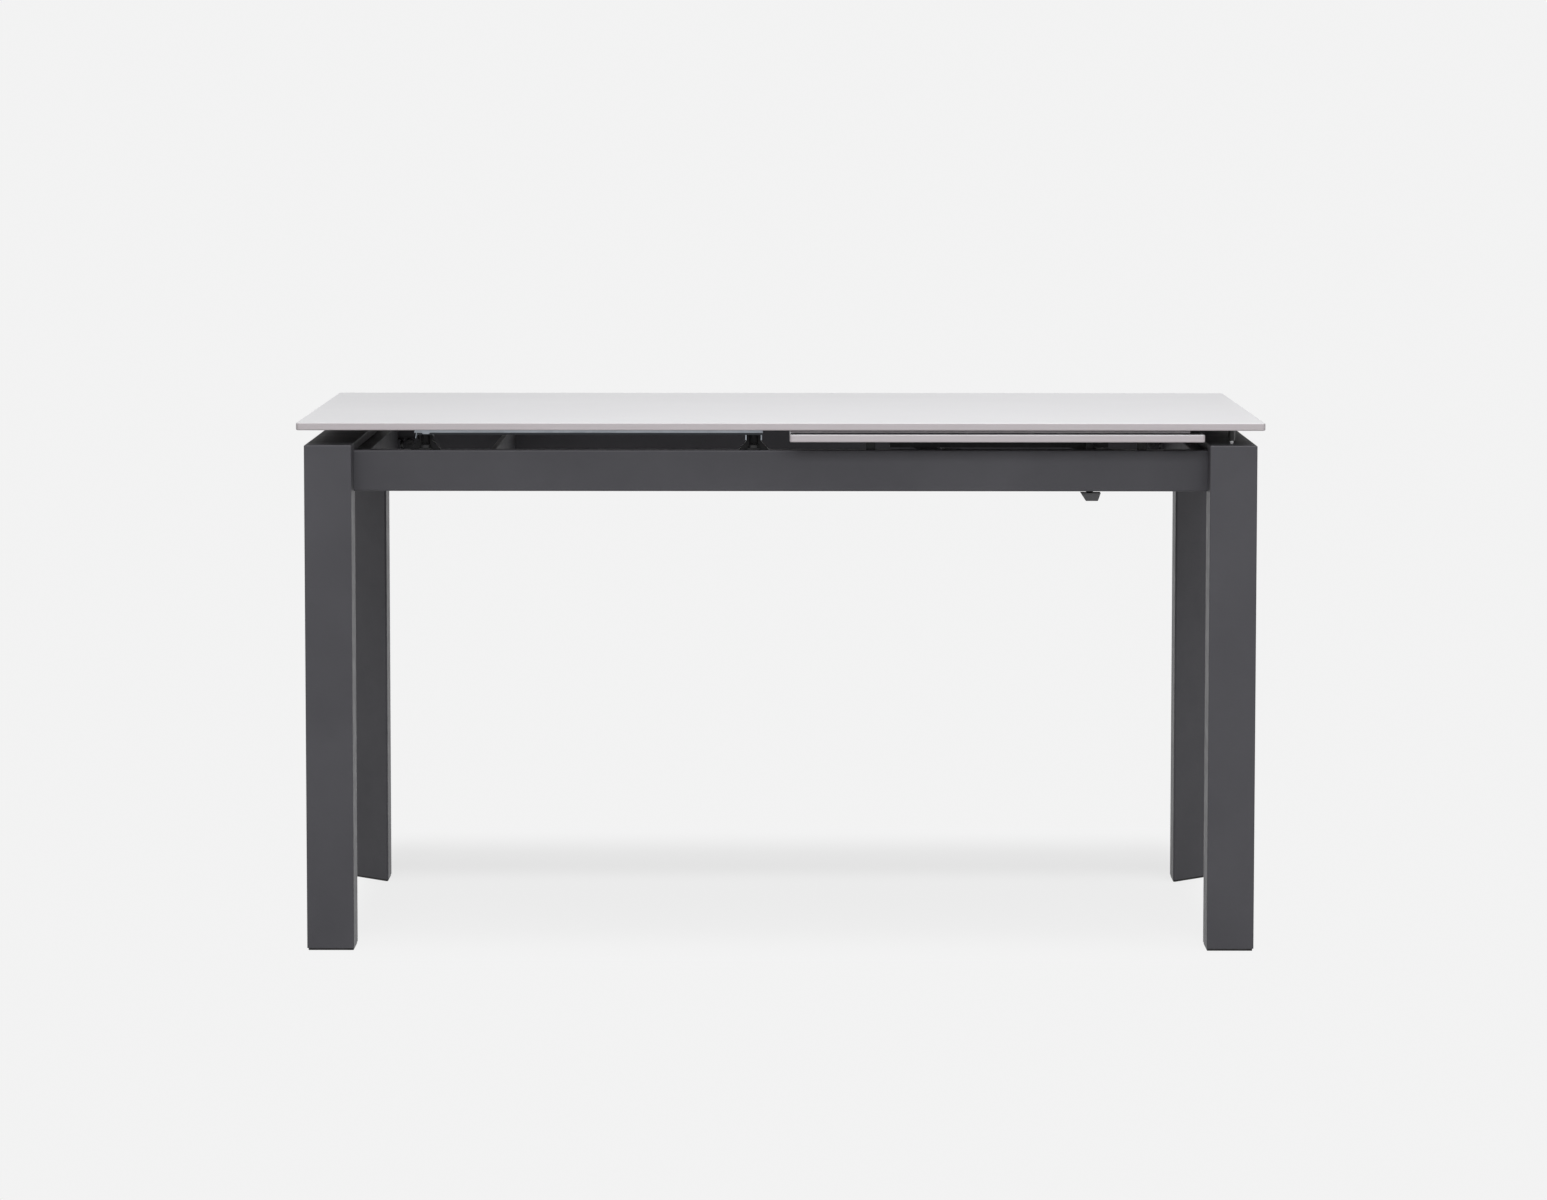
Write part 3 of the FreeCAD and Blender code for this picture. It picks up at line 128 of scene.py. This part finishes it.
# Noise patterns: scale on an object in metres, and detail
POWDER_CLOUD = (7.0, 4.0)
POWDER_SPECKLE = (1500.0, 2.0)
POWDER_PEEL = (650.0, 1.0)
POWDER_HAZE = (40.0, 3.0)
PANEL_CLOUD = (2.4, 5.0)
PANEL_GRAIN = (1100.0, 2.0)
PANEL_STREAK = (4.0, 3.0)
PANEL_ETCH = (1800.0, 1.0)
PANEL_HAZE = (5.0, 4.0)
METAL_GRAIN = (1.0, 4.0)
METAL_HAZE = (30.0, 3.0)
MOULDING_BLOOM = (60.0, 4.0)
MOULDING_HAZE = (90.0, 2.0)
MOULDING_GRAIN_DETAIL = 2.0
PILE_FIBRES = (1.0, 3.0)
PILE_TUFTS = (240.0, 3.0)
SPANGLE_SCALE = 170.0

# How closely a pattern is packed along each axis; a small number draws it out
PANEL_STREAK_STRETCH = (3.0, 3.0, 260.0)
PILE_FIBRE_STRETCH = (2600.0, 2600.0, 260.0)
ALONG_TABLE = (6.0, 900.0, 900.0)
ACROSS_TABLE = (900.0, 6.0, 900.0)
ALL_WAYS = (500.0, 500.0, 500.0)

# Relief: depth in metres, and strength; a moulding's depth is given with its finish
POWDER_PEEL_RELIEF = (0.00025, 0.22)
PANEL_ETCH_RELIEF = (0.00008, 0.25)
METAL_SCRATCH_RELIEF = (0.00006, 0.3)
PILE_FIBRE_RELIEF = (0.0002, 0.6)
MOULDING_GRAIN_STRENGTH = 0.3

# Ranges that patterns are spread from or over, and single values of the same kind
USUAL = (0.3, 0.7)
WHOLE = (0.0, 1.0)
FADING = (1.0, 0.0)
POWDER_SPECKLE_RANGE = (0.82, 1.18)
POWDER_ROUGHNESS = (0.43, 0.52)
PANEL_GRAIN_RANGE = (0.35, 0.65)
PANEL_CLOUD_SHARE = 0.5
PANEL_ROUGHNESS = (0.42, 0.50)
ZINC_ROUGHNESS = 0.34
ZINC_SPANGLE = 0.7
METAL_ROUGHNESS_SWING = (-0.05, 0.07)
MOULDING_ROUGHNESS_SWING = (-0.06, 0.08)
PILE_TUFT_SHADE = (0.0, 0.4)
PILE_ROUGHNESS = (0.82, 0.95)

# How far a face looks up where one tone gives way to the next, painted arris highlight and painted shade
# under metal included
ARRIS_HIGHLIGHT_START = (0.10, 0.40)
ARRIS_HIGHLIGHT_END = (0.80, 0.97)
PANEL_FACE_START = (0.35, 0.75)
PANEL_BACKING_END = (-0.95, -0.75)
METAL_UNDER_SHADE_END = (-0.60, -0.40)

# Softened edges: radius in metres and samples where the shader rounds them, and steps where the mesh does
MOULDING_EASING = 0.0005
PLASTIC_EASING = 0.0009
SHADER_EASING_SAMPLES = 8
MESH_EASING_STEPS = 2

# Bent catch on the left end of each slide's outer wall, in millimetres: its outline along the slide and up,
# from the wall's upper corner
CATCH_OUTLINE = ((-1.5, 0.0), (-2.6, -4.4), (-1.6, -4.8), (0.6, -4.2), (-0.9, -12.6), (0.0, -12.9),
                 (1.6, -4.6), (8.0, -4.8), (10.5, -6.6), (18.5, -6.6), (20.5, -4.6), (20.5, 0.0))
CATCH_THICKNESS = 1.4
CATCH_EASING = 0.2

# Painted shade on the tabs at the left end of each slide, in millimetres: how far below the wall's upper
# corner it starts, and how far along from it it reaches
TAB_SHADE_BELOW = 8.2
TAB_SHADE_ALONG = 30.0

# Pile strips under the top, in millimetres: half of the section, across and up from the top's underside, how
# far the pile's tips wander, the step along a strip, and the clip that closes the left end
PILE_SECTION = ((3.0, 0.0), (3.0, -0.9), (2.6, -1.0), (2.3, -3.4), (1.4, -4.0))
PILE_TIP = -4.2
PILE_WANDER = 0.12
PILE_STEP = 3.0
PILE_CLIP_LENGTH = 1.9
PILE_CLIP_EASING = 0.25
MILLIMETRE = 0.001

# The colour mix node keeps its colour sockets after those for numbers and vectors
MIX_FACTOR, MIX_FIRST, MIX_SECOND, MIX_RESULT = 0, 6, 7, 2


def add_node(tree, kind, inputs=None, **settings):
    """A new node with its settings and inputs; an input that is a socket is linked."""
    node = tree.nodes.new(kind)
    for name, value in settings.items():
        setattr(node, name, value)
    for name, value in (inputs or {}).items():
        if isinstance(value, bpy.types.NodeSocket):
            tree.links.new(value, node.inputs[name])
        else:
            node.inputs[name].default_value = value
    return node


def object_place(tree, stretch=(1.0, 1.0, 1.0)):
    """The point on the object at rest, in metres, stretched along the axes."""
    place = add_node(tree, "ShaderNodeTexCoord").outputs["Object"]
    return add_node(tree, "ShaderNodeVectorMath", {0: place, 1: stretch}, operation="MULTIPLY").outputs[0]


def noise(tree, place, scale, detail):
    """A soft random pattern."""
    inputs = {"Vector": place, "Scale": scale, "Detail": detail}
    return add_node(tree, "ShaderNodeTexNoise", inputs).outputs[0]


def remap(tree, value, limits=WHOLE, ends=USUAL, kind="LINEAR"):
    """A value's range between two ends spread over two limits."""
    inputs = {"Value": value, "From Min": ends[0], "From Max": ends[1],
              "To Min": limits[0], "To Max": limits[1]}
    return add_node(tree, "ShaderNodeMapRange", inputs, interpolation_type=kind).outputs[0]


def ramp(tree, value, ends, limits=WHOLE):
    """A soft step from one limit to the other."""
    return remap(tree, value, limits, ends, "SMOOTHSTEP")


def around(middle, swing):
    """Two limits below and above a middle value."""
    return middle + swing[0], middle + swing[1]


def calculated(tree, operation, *values):
    """The result of one operation on numbers."""
    return add_node(tree, "ShaderNodeMath", dict(enumerate(values)), operation=operation).outputs[0]


def mixed(tree, factor, first, second, blend="MIX"):
    """Two colours mixed by a factor."""
    inputs = {MIX_FACTOR: factor, MIX_FIRST: first, MIX_SECOND: second}
    return add_node(tree, "ShaderNodeMix", inputs, data_type="RGBA", blend_type=blend).outputs[MIX_RESULT]


def bumped(tree, height, distance, strength, under=None):
    """A surface direction with fine relief, over another one if there is one."""
    inputs = {"Height": height, "Distance": distance, "Strength": strength}
    if under is not None:
        inputs["Normal"] = under
    return add_node(tree, "ShaderNodeBump", inputs).outputs[0]


def facing_up(tree):
    """How far a face looks up: one where level, nothing where upright, less than nothing below."""
    normal = add_node(tree, "ShaderNodeTexCoord").outputs["Normal"]
    return add_node(tree, "ShaderNodeSeparateXYZ", {0: normal}).outputs["Z"]


def new_surface(name):
    """A material, its tree and its bare surface shader."""
    material = bpy.data.materials.new(name)
    material.use_nodes = True
    return material, material.node_tree, material.node_tree.nodes["Principled BSDF"]


def feed(tree, shader, **sockets):
    """Link patterns to the shader's sockets, their names written with underscores."""
    for name, source in sockets.items():
        tree.links.new(source, shader.inputs[name.replace("_", " ")])


def powder_coat():
    """Graphite powder coat: soft mottling, a fine speckle, orange peel, and a painted highlight along the
    upper arrises.
    """
    material, tree, shader = new_surface("powder_coat")
    place = object_place(tree)
    cloud = remap(tree, noise(tree, place, *POWDER_CLOUD))
    speckle = remap(tree, noise(tree, place, *POWDER_SPECKLE), POWDER_SPECKLE_RANGE)
    colour = mixed(tree, cloud, POWDER_DARK, POWDER_LIGHT)
    fine = add_node(tree, "ShaderNodeCombineColor", {0: speckle, 1: speckle, 2: speckle}).outputs[0]
    colour = mixed(tree, 1.0, colour, fine, "MULTIPLY")
    level = facing_up(tree)
    # Painted highlight along the upper arrises, where a face turns from upright to level
    arris_highlight = calculated(tree, "MULTIPLY", ramp(tree, level, ARRIS_HIGHLIGHT_START), ramp(tree, level, ARRIS_HIGHLIGHT_END, FADING))
    colour = mixed(tree, arris_highlight, colour, POWDER_ARRIS_HIGHLIGHT)
    peel = bumped(tree, noise(tree, place, *POWDER_PEEL), *POWDER_PEEL_RELIEF)
    roughness = remap(tree, noise(tree, place, *POWDER_HAZE), POWDER_ROUGHNESS)
    feed(tree, shader, Base_Color=colour, Roughness=roughness, Normal=peel)
    shader.inputs["Specular IOR Level"].default_value = PAINT_SHINE
    return material


def panel_surface():
    """Matt pale grey face with a faint cloud and grain, a warmer ground edge and a dark backing."""
    material, tree, shader = new_surface("panel_surface")
    place = object_place(tree)
    cloud = remap(tree, noise(tree, place, *PANEL_CLOUD))
    grain = remap(tree, noise(tree, place, *PANEL_GRAIN))
    face = mixed(tree, remap(tree, grain, PANEL_GRAIN_RANGE, WHOLE), PANEL_DARK, PANEL_LIGHT)
    face = mixed(tree, cloud, face, mixed(tree, PANEL_CLOUD_SHARE, face, PANEL_LIGHT))
    streak = noise(tree, object_place(tree, PANEL_STREAK_STRETCH), *PANEL_STREAK)
    edge = mixed(tree, remap(tree, streak), PANEL_EDGE_DARK, PANEL_EDGE_LIGHT)
    level = facing_up(tree)
    backing = mixed(tree, cloud, PANEL_UNDER_DARK, PANEL_UNDER_LIGHT)
    colour = mixed(tree, remap(tree, level, WHOLE, PANEL_FACE_START), edge, face)
    colour = mixed(tree, remap(tree, level, FADING, PANEL_BACKING_END), colour, backing)
    etch = bumped(tree, noise(tree, place, *PANEL_ETCH), *PANEL_ETCH_RELIEF)
    roughness = remap(tree, noise(tree, place, *PANEL_HAZE), PANEL_ROUGHNESS)
    feed(tree, shader, Base_Color=colour, Roughness=roughness, Normal=etch)
    return material


def left_tab_shade(tree):
    """One on the tabs that bend down at the slides' left end, where shade is painted on them, nothing
    elsewhere.
    """
    low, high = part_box("front_slide_outer")
    place = add_node(tree, "ShaderNodeSeparateXYZ", {0: object_place(tree)}).outputs
    below = calculated(tree, "LESS_THAN", place["Z"], high[2] - TAB_SHADE_BELOW * MILLIMETRE)
    left = calculated(tree, "LESS_THAN", place["X"], low[0] + TAB_SHADE_ALONG * MILLIMETRE)
    return calculated(tree, "MULTIPLY", below, left)


def metal(name, dark, light, grain_stretch, roughness, spangle=0.0, under=None, painted_tab_shade=False):
    """Bare or plated metal: drawn grain, and where asked a spangle, painted shade on faces that look down and
    on the left tabs.
    """
    material, tree, shader = new_surface(name)
    grain = noise(tree, object_place(tree, grain_stretch), *METAL_GRAIN)
    colour = mixed(tree, remap(tree, grain), dark, light)
    if spangle:
        spread = {"Vector": object_place(tree), "Scale": SPANGLE_SCALE}
        crystals = add_node(tree, "ShaderNodeTexVoronoi", spread)
        tones = add_node(tree, "ShaderNodeSeparateColor", {0: crystals.outputs["Color"]})
        colour = mixed(tree, remap(tree, tones.outputs[0], (0.0, spangle), WHOLE), colour, light)
    if under is not None:
        # Painted shade on the faces that look down
        colour = mixed(tree, ramp(tree, facing_up(tree), METAL_UNDER_SHADE_END, FADING), colour, under)
    if painted_tab_shade:
        # Painted shade on the tabs at the left end
        colour = mixed(tree, left_tab_shade(tree), colour, TAB_SHADE)
    haze = remap(tree, noise(tree, object_place(tree), *METAL_HAZE), around(roughness, METAL_ROUGHNESS_SWING))
    scratches = bumped(tree, grain, *METAL_SCRATCH_RELIEF)
    feed(tree, shader, Base_Color=colour, Roughness=haze, Normal=scratches)
    shader.inputs["Metallic"].default_value = 1.0
    return material


def moulding(name, dark, light, roughness, grain_scale, grain_depth, easing=MOULDING_EASING,
             shine=MOULDING_SHINE):
    """Moulded plastic, rubber or thick paint: softened edges, grain, and a slight bloom."""
    material, tree, shader = new_surface(name)
    place = object_place(tree)
    bloom = remap(tree, noise(tree, place, *MOULDING_BLOOM))
    eased = add_node(tree, "ShaderNodeBevel", {"Radius": easing}, samples=SHADER_EASING_SAMPLES).outputs[0]
    pits = noise(tree, place, grain_scale, MOULDING_GRAIN_DETAIL)
    grain = bumped(tree, pits, grain_depth, MOULDING_GRAIN_STRENGTH, eased)
    haze = remap(tree, noise(tree, place, *MOULDING_HAZE), around(roughness, MOULDING_ROUGHNESS_SWING))
    feed(tree, shader, Base_Color=mixed(tree, bloom, dark, light), Roughness=haze, Normal=grain)
    shader.inputs["Specular IOR Level"].default_value = shine
    return material


def pile():
    """Dense wool pile: upright fibres, light and dark, with a soft sheen."""
    material, tree, shader = new_surface("grey_pile")
    fibres = noise(tree, object_place(tree, PILE_FIBRE_STRETCH), *PILE_FIBRES)
    tufts = remap(tree, noise(tree, object_place(tree), *PILE_TUFTS))
    colour = mixed(tree, remap(tree, fibres), PILE_DARK, PILE_LIGHT)
    colour = mixed(tree, remap(tree, tufts, PILE_TUFT_SHADE, WHOLE), colour, PILE_DARK)
    roughness = remap(tree, tufts, PILE_ROUGHNESS, WHOLE)
    relief = bumped(tree, fibres, *PILE_FIBRE_RELIEF)
    feed(tree, shader, Base_Color=colour, Roughness=roughness, Normal=relief)
    shader.inputs["Sheen Weight"].default_value = PILE_SHEEN
    return material


FINISHES = {
    "powder_coat": powder_coat(),
    "top_surface": panel_surface(),
    "zinc_sheet": metal("zinc_sheet", ZINC_DARK, ZINC_LIGHT, ALONG_TABLE, ZINC_ROUGHNESS, ZINC_SPANGLE,
                        under=ZINC_UNDER_SHADE, painted_tab_shade=True),
    "bright_steel": metal("bright_steel", STEEL_DARK, STEEL_LIGHT, ACROSS_TABLE, roughness=0.24),
    "zinc_plate": metal("zinc_plate", PLATE_DARK, PLATE_LIGHT, ALL_WAYS, roughness=0.38, spangle=0.5),
    "black_steel": moulding("black_steel", BLACK_DARK, BLACK_LIGHT, roughness=0.46, grain_scale=700.0,
                            grain_depth=0.0001),
    "black_plastic": moulding("black_plastic", PLASTIC_DARK, PLASTIC_LIGHT, roughness=0.36, grain_scale=900.0,
                              grain_depth=0.0001, easing=PLASTIC_EASING, shine=PLASTIC_SHINE),
    "black_rubber": moulding("black_rubber", RUBBER_DARK, RUBBER_LIGHT, roughness=0.70, grain_scale=700.0,
                             grain_depth=0.0002),
    "grey_pile": pile(),
}
CATCH_FINISH = metal("catch_zinc", ZINC_DARK, ZINC_LIGHT, ALONG_TABLE, ZINC_ROUGHNESS, ZINC_SPANGLE,
                     under=ZINC_UNDER_SHADE)
PILE_CLIP_FINISH = moulding("pile_clip", PILE_END_DARK, PILE_END_LIGHT, roughness=0.45, grain_scale=800.0,
                            grain_depth=0.00008)
NODE_FINISHES = {
    "latch_grip": moulding("grip_plastic", GRIP_DARK, GRIP_LIGHT, roughness=0.42, grain_scale=800.0,
                           grain_depth=0.00012),
    "top_bumpers": moulding("buffer_rubber", BUFFER_DARK, BUFFER_LIGHT, roughness=0.30, grain_scale=500.0,
                            grain_depth=0.00008),
}


def finish_cad_nodes():
    """Give each carried node its own finish, or else that of its slot."""
    for subpart in frame["record"]["subparts"]:
        node = subpart["node"]
        materials = nodes[node].data.materials
        materials.clear()
        materials.append(NODE_FINISHES.get(node, FINISHES[subpart["material_slot"]]))


def add_plate(shape, outline, thickness, easing, finish=0):
    """Grow a flat outline of points along a thickness, soften its edges and add it to a mesh."""
    plate = bmesh.new()
    face = plate.faces.new([plate.verts.new(point) for point in outline])
    grown = bmesh.ops.extrude_face_region(plate, geom=[face])["geom"]
    moved = [item for item in grown if isinstance(item, bmesh.types.BMVert)]
    bmesh.ops.translate(plate, verts=moved, vec=thickness)
    bmesh.ops.bevel(plate, geom=plate.edges[:], offset=easing * MILLIMETRE, segments=MESH_EASING_STEPS,
                    affect="EDGES")
    bmesh.ops.recalc_face_normals(plate, faces=plate.faces[:])
    for face in plate.faces:
        face.material_index = finish
    mesh = bpy.data.meshes.new("plate")
    plate.to_mesh(mesh)
    plate.free()
    shape.from_mesh(mesh)
    bpy.data.meshes.remove(mesh)


def add_piece(name, shape, body, slot, *finishes):
    """Make a piece that rides on a body from a finished mesh."""
    mesh = bpy.data.meshes.new(name)
    shape.to_mesh(mesh)
    shape.free()
    for finish in finishes:
        mesh.materials.append(finish)
    piece = bpy.data.objects.new(name, mesh)
    bpy.context.scene.collection.objects.link(piece)
    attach(piece, body)
    return piece


def make_slide_catches():
    """A bent catch at the left end of each slide, on the outer wall."""
    for side, outward in (("front", -1), ("back", 1)):
        low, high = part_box(f"{side}_slide_outer")
        corner = Vector((low[0], low[1] if outward < 0 else high[1], high[2]))
        outline = [corner + Vector((along, 0.0, up)) * MILLIMETRE for along, up in CATCH_OUTLINE]
        shape = bmesh.new()
        add_plate(shape, outline, (0.0, outward * CATCH_THICKNESS * MILLIMETRE, 0.0), CATCH_EASING)
        add_piece(f"{side}_slide_catch", shape, "frame", "zinc_sheet", CATCH_FINISH)


def add_pile(shape, ends, middle, underside):
    """Sweep the pile's section along the table, with tips that wander a little."""
    half = list(PILE_SECTION) + [(0.0, PILE_TIP)]
    section = [(-across, up) for across, up in half] + half[-2::-1]
    count = round((ends[1] - ends[0]) / (PILE_STEP * MILLIMETRE))
    rings = []
    for number in range(count + 1):
        along = ends[0] + (ends[1] - ends[0]) * number / count
        ring = []
        for across, up in section:
            wander = pattern.noise(Vector((number, across, middle))) * PILE_WANDER * up / PILE_TIP
            ring.append(shape.verts.new((along, middle + (across + wander) * MILLIMETRE,
                                         underside + (up + abs(wander)) * MILLIMETRE)))
        rings.append(ring)
    for ring, following in zip(rings, rings[1:]):
        for place in range(len(section)):
            shape.faces.new((ring[place - 1], ring[place], following[place], following[place - 1]))
    shape.faces.new(rings[0])
    shape.faces.new(rings[-1][::-1])


def make_pile_strips():
    """Soft pile under the top, over the long edges of the stored leaf."""
    low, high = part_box("leaf_pile_strips")
    half_width = max(across for across, _ in PILE_SECTION) * MILLIMETRE
    clip_end = low[0] + PILE_CLIP_LENGTH * MILLIMETRE
    shape = bmesh.new()
    for middle in (low[1] + half_width, high[1] - half_width):
        add_pile(shape, (clip_end, high[0]), middle, high[2])
    bmesh.ops.recalc_face_normals(shape, faces=shape.faces[:])
    for middle in (low[1] + half_width, high[1] - half_width):
        outline = [(low[0], middle + across * half_width, up)
                   for across, up in ((-1, low[2]), (1, low[2]), (1, high[2]), (-1, high[2]))]
        add_plate(shape, outline, (clip_end - low[0], 0.0, 0.0), PILE_CLIP_EASING, finish=1)
    strips = add_piece("leaf_pile", shape, "main_top", "grey_pile", FINISHES["grey_pile"], PILE_CLIP_FINISH)
    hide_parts("leaf_pile_strips")
    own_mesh(strips)


def seen_directly(tree):
    """One for rays that show what is behind the table: seen straight, mirrored or through something clear."""
    path = add_node(tree, "ShaderNodeLightPath")
    seen = path.outputs["Is Camera Ray"]
    for ray in ("Is Glossy Ray", "Is Transmission Ray"):
        seen = calculated(tree, "MAXIMUM", seen, path.outputs[ray])
    return seen


def shade_share(tree):
    """How much of the real shade the floor shows: between the legs, most in a band behind them."""
    place = add_node(tree, "ShaderNodeSeparateXYZ", {0: object_place(tree)}).outputs
    sides = ramp(tree, calculated(tree, "ABSOLUTE", place["X"]), SHADE_SIDES, (SHADE_SHARE, 0.0))
    near = ramp(tree, place["Y"], SHADE_FRONT, (0.0, SHADE_NEAR_PART))
    band = ramp(tree, place["Y"], SHADE_BAND, (0.0, 1.0 - SHADE_NEAR_PART))
    back = ramp(tree, place["Y"], SHADE_BACK, FADING)
    along = calculated(tree, "MULTIPLY", calculated(tree, "ADD", near, band), back)
    return calculated(tree, "MULTIPLY", sides, along)


def floor_material():
    """Backdrop colour with part of the real shade where it is seen; a quieter floor for light it returns."""
    material = bpy.data.materials.new("studio_floor")
    material.use_nodes = True
    tree = material.node_tree
    tree.nodes.clear()
    bounce = add_node(tree, "ShaderNodeBsdfDiffuse", {"Color": FLOOR_BOUNCE}).outputs[0]
    shaded = add_node(tree, "ShaderNodeBsdfDiffuse", {"Color": FLOOR_COLOUR}).outputs[0]
    plain = add_node(tree, "ShaderNodeEmission", {"Color": BACKDROP}).outputs[0]
    shown = add_node(tree, "ShaderNodeMixShader", {0: shade_share(tree), 1: plain, 2: shaded}).outputs[0]
    surface = add_node(tree, "ShaderNodeMixShader", {0: seen_directly(tree), 1: bounce, 2: shown}).outputs[0]
    add_node(tree, "ShaderNodeOutputMaterial", {"Surface": surface})
    return material


def make_floor():
    """A wide level floor that belongs to the stage."""
    mesh = bpy.data.meshes.new("studio_floor")
    half = FLOOR_SIZE / 2
    corners = [(-half, -half, 0), (half, -half, 0), (half, half, 0), (-half, half, 0)]
    mesh.from_pydata(corners, [], [(0, 1, 2, 3)])
    mesh.materials.append(floor_material())
    floor = bpy.data.objects.new("studio_floor", mesh)
    bpy.context.scene.collection.objects.link(floor)


def make_world():
    """Soft light from all round; seen directly it has the backdrop's colour."""
    world = bpy.data.worlds.new("studio")
    world.use_nodes = True
    tree = world.node_tree
    tree.nodes.clear()
    ambient = add_node(tree, "ShaderNodeBackground", {"Color": AMBIENT_COLOUR, "Strength": AMBIENT_STRENGTH})
    plain = add_node(tree, "ShaderNodeBackground", {"Color": BACKDROP, "Strength": 1.0})
    surface = add_node(tree, "ShaderNodeMixShader",
                       {0: seen_directly(tree), 1: ambient.outputs[0], 2: plain.outputs[0]})
    add_node(tree, "ShaderNodeOutputWorld", {"Surface": surface.outputs[0]})
    bpy.context.scene.world = world


def make_lamps():
    """Soft area lamps that the camera itself doesn't see."""
    for name, place, aim, across, along, watts, in_gloss in LAMPS:
        light = bpy.data.lights.new(name, "AREA")
        light.shape = "RECTANGLE"
        light.size = across
        light.size_y = along
        light.energy = watts
        lamp = bpy.data.objects.new(name, light)
        lamp.location = place
        lamp.rotation_euler = (Vector(aim) - Vector(place)).to_track_quat("-Z", "Y").to_euler()
        lamp.visible_camera = False
        lamp.visible_glossy = in_gloss
        bpy.context.scene.collection.objects.link(lamp)


def make_camera():
    """The camera, set before the table's front edge."""
    camera = bpy.data.objects.new("camera", bpy.data.cameras.new("camera"))
    turn = Matrix.Rotation(-math.radians(CAMERA_YAW), 4, "Z")
    tilt = Matrix.Rotation(math.radians(CAMERA_LEVEL_TILT - CAMERA_PITCH_DOWN), 4, "X")
    roll = Matrix.Rotation(math.radians(CAMERA_ROLL), 4, "Z")
    camera.matrix_world = Matrix.Translation(CAMERA_PLACE) @ turn @ tilt @ roll
    camera.data.sensor_width = SENSOR_WIDTH
    camera.data.lens = CAMERA_LENS
    camera.data.clip_end = 2 * FLOOR_SIZE
    bpy.context.scene.collection.objects.link(camera)
    bpy.context.scene.camera = camera


finish_cad_nodes()
make_slide_catches()
make_pile_strips()
make_floor()
make_world()
make_lamps()
make_camera()
bpy.context.scene.view_settings.view_transform = "Standard"
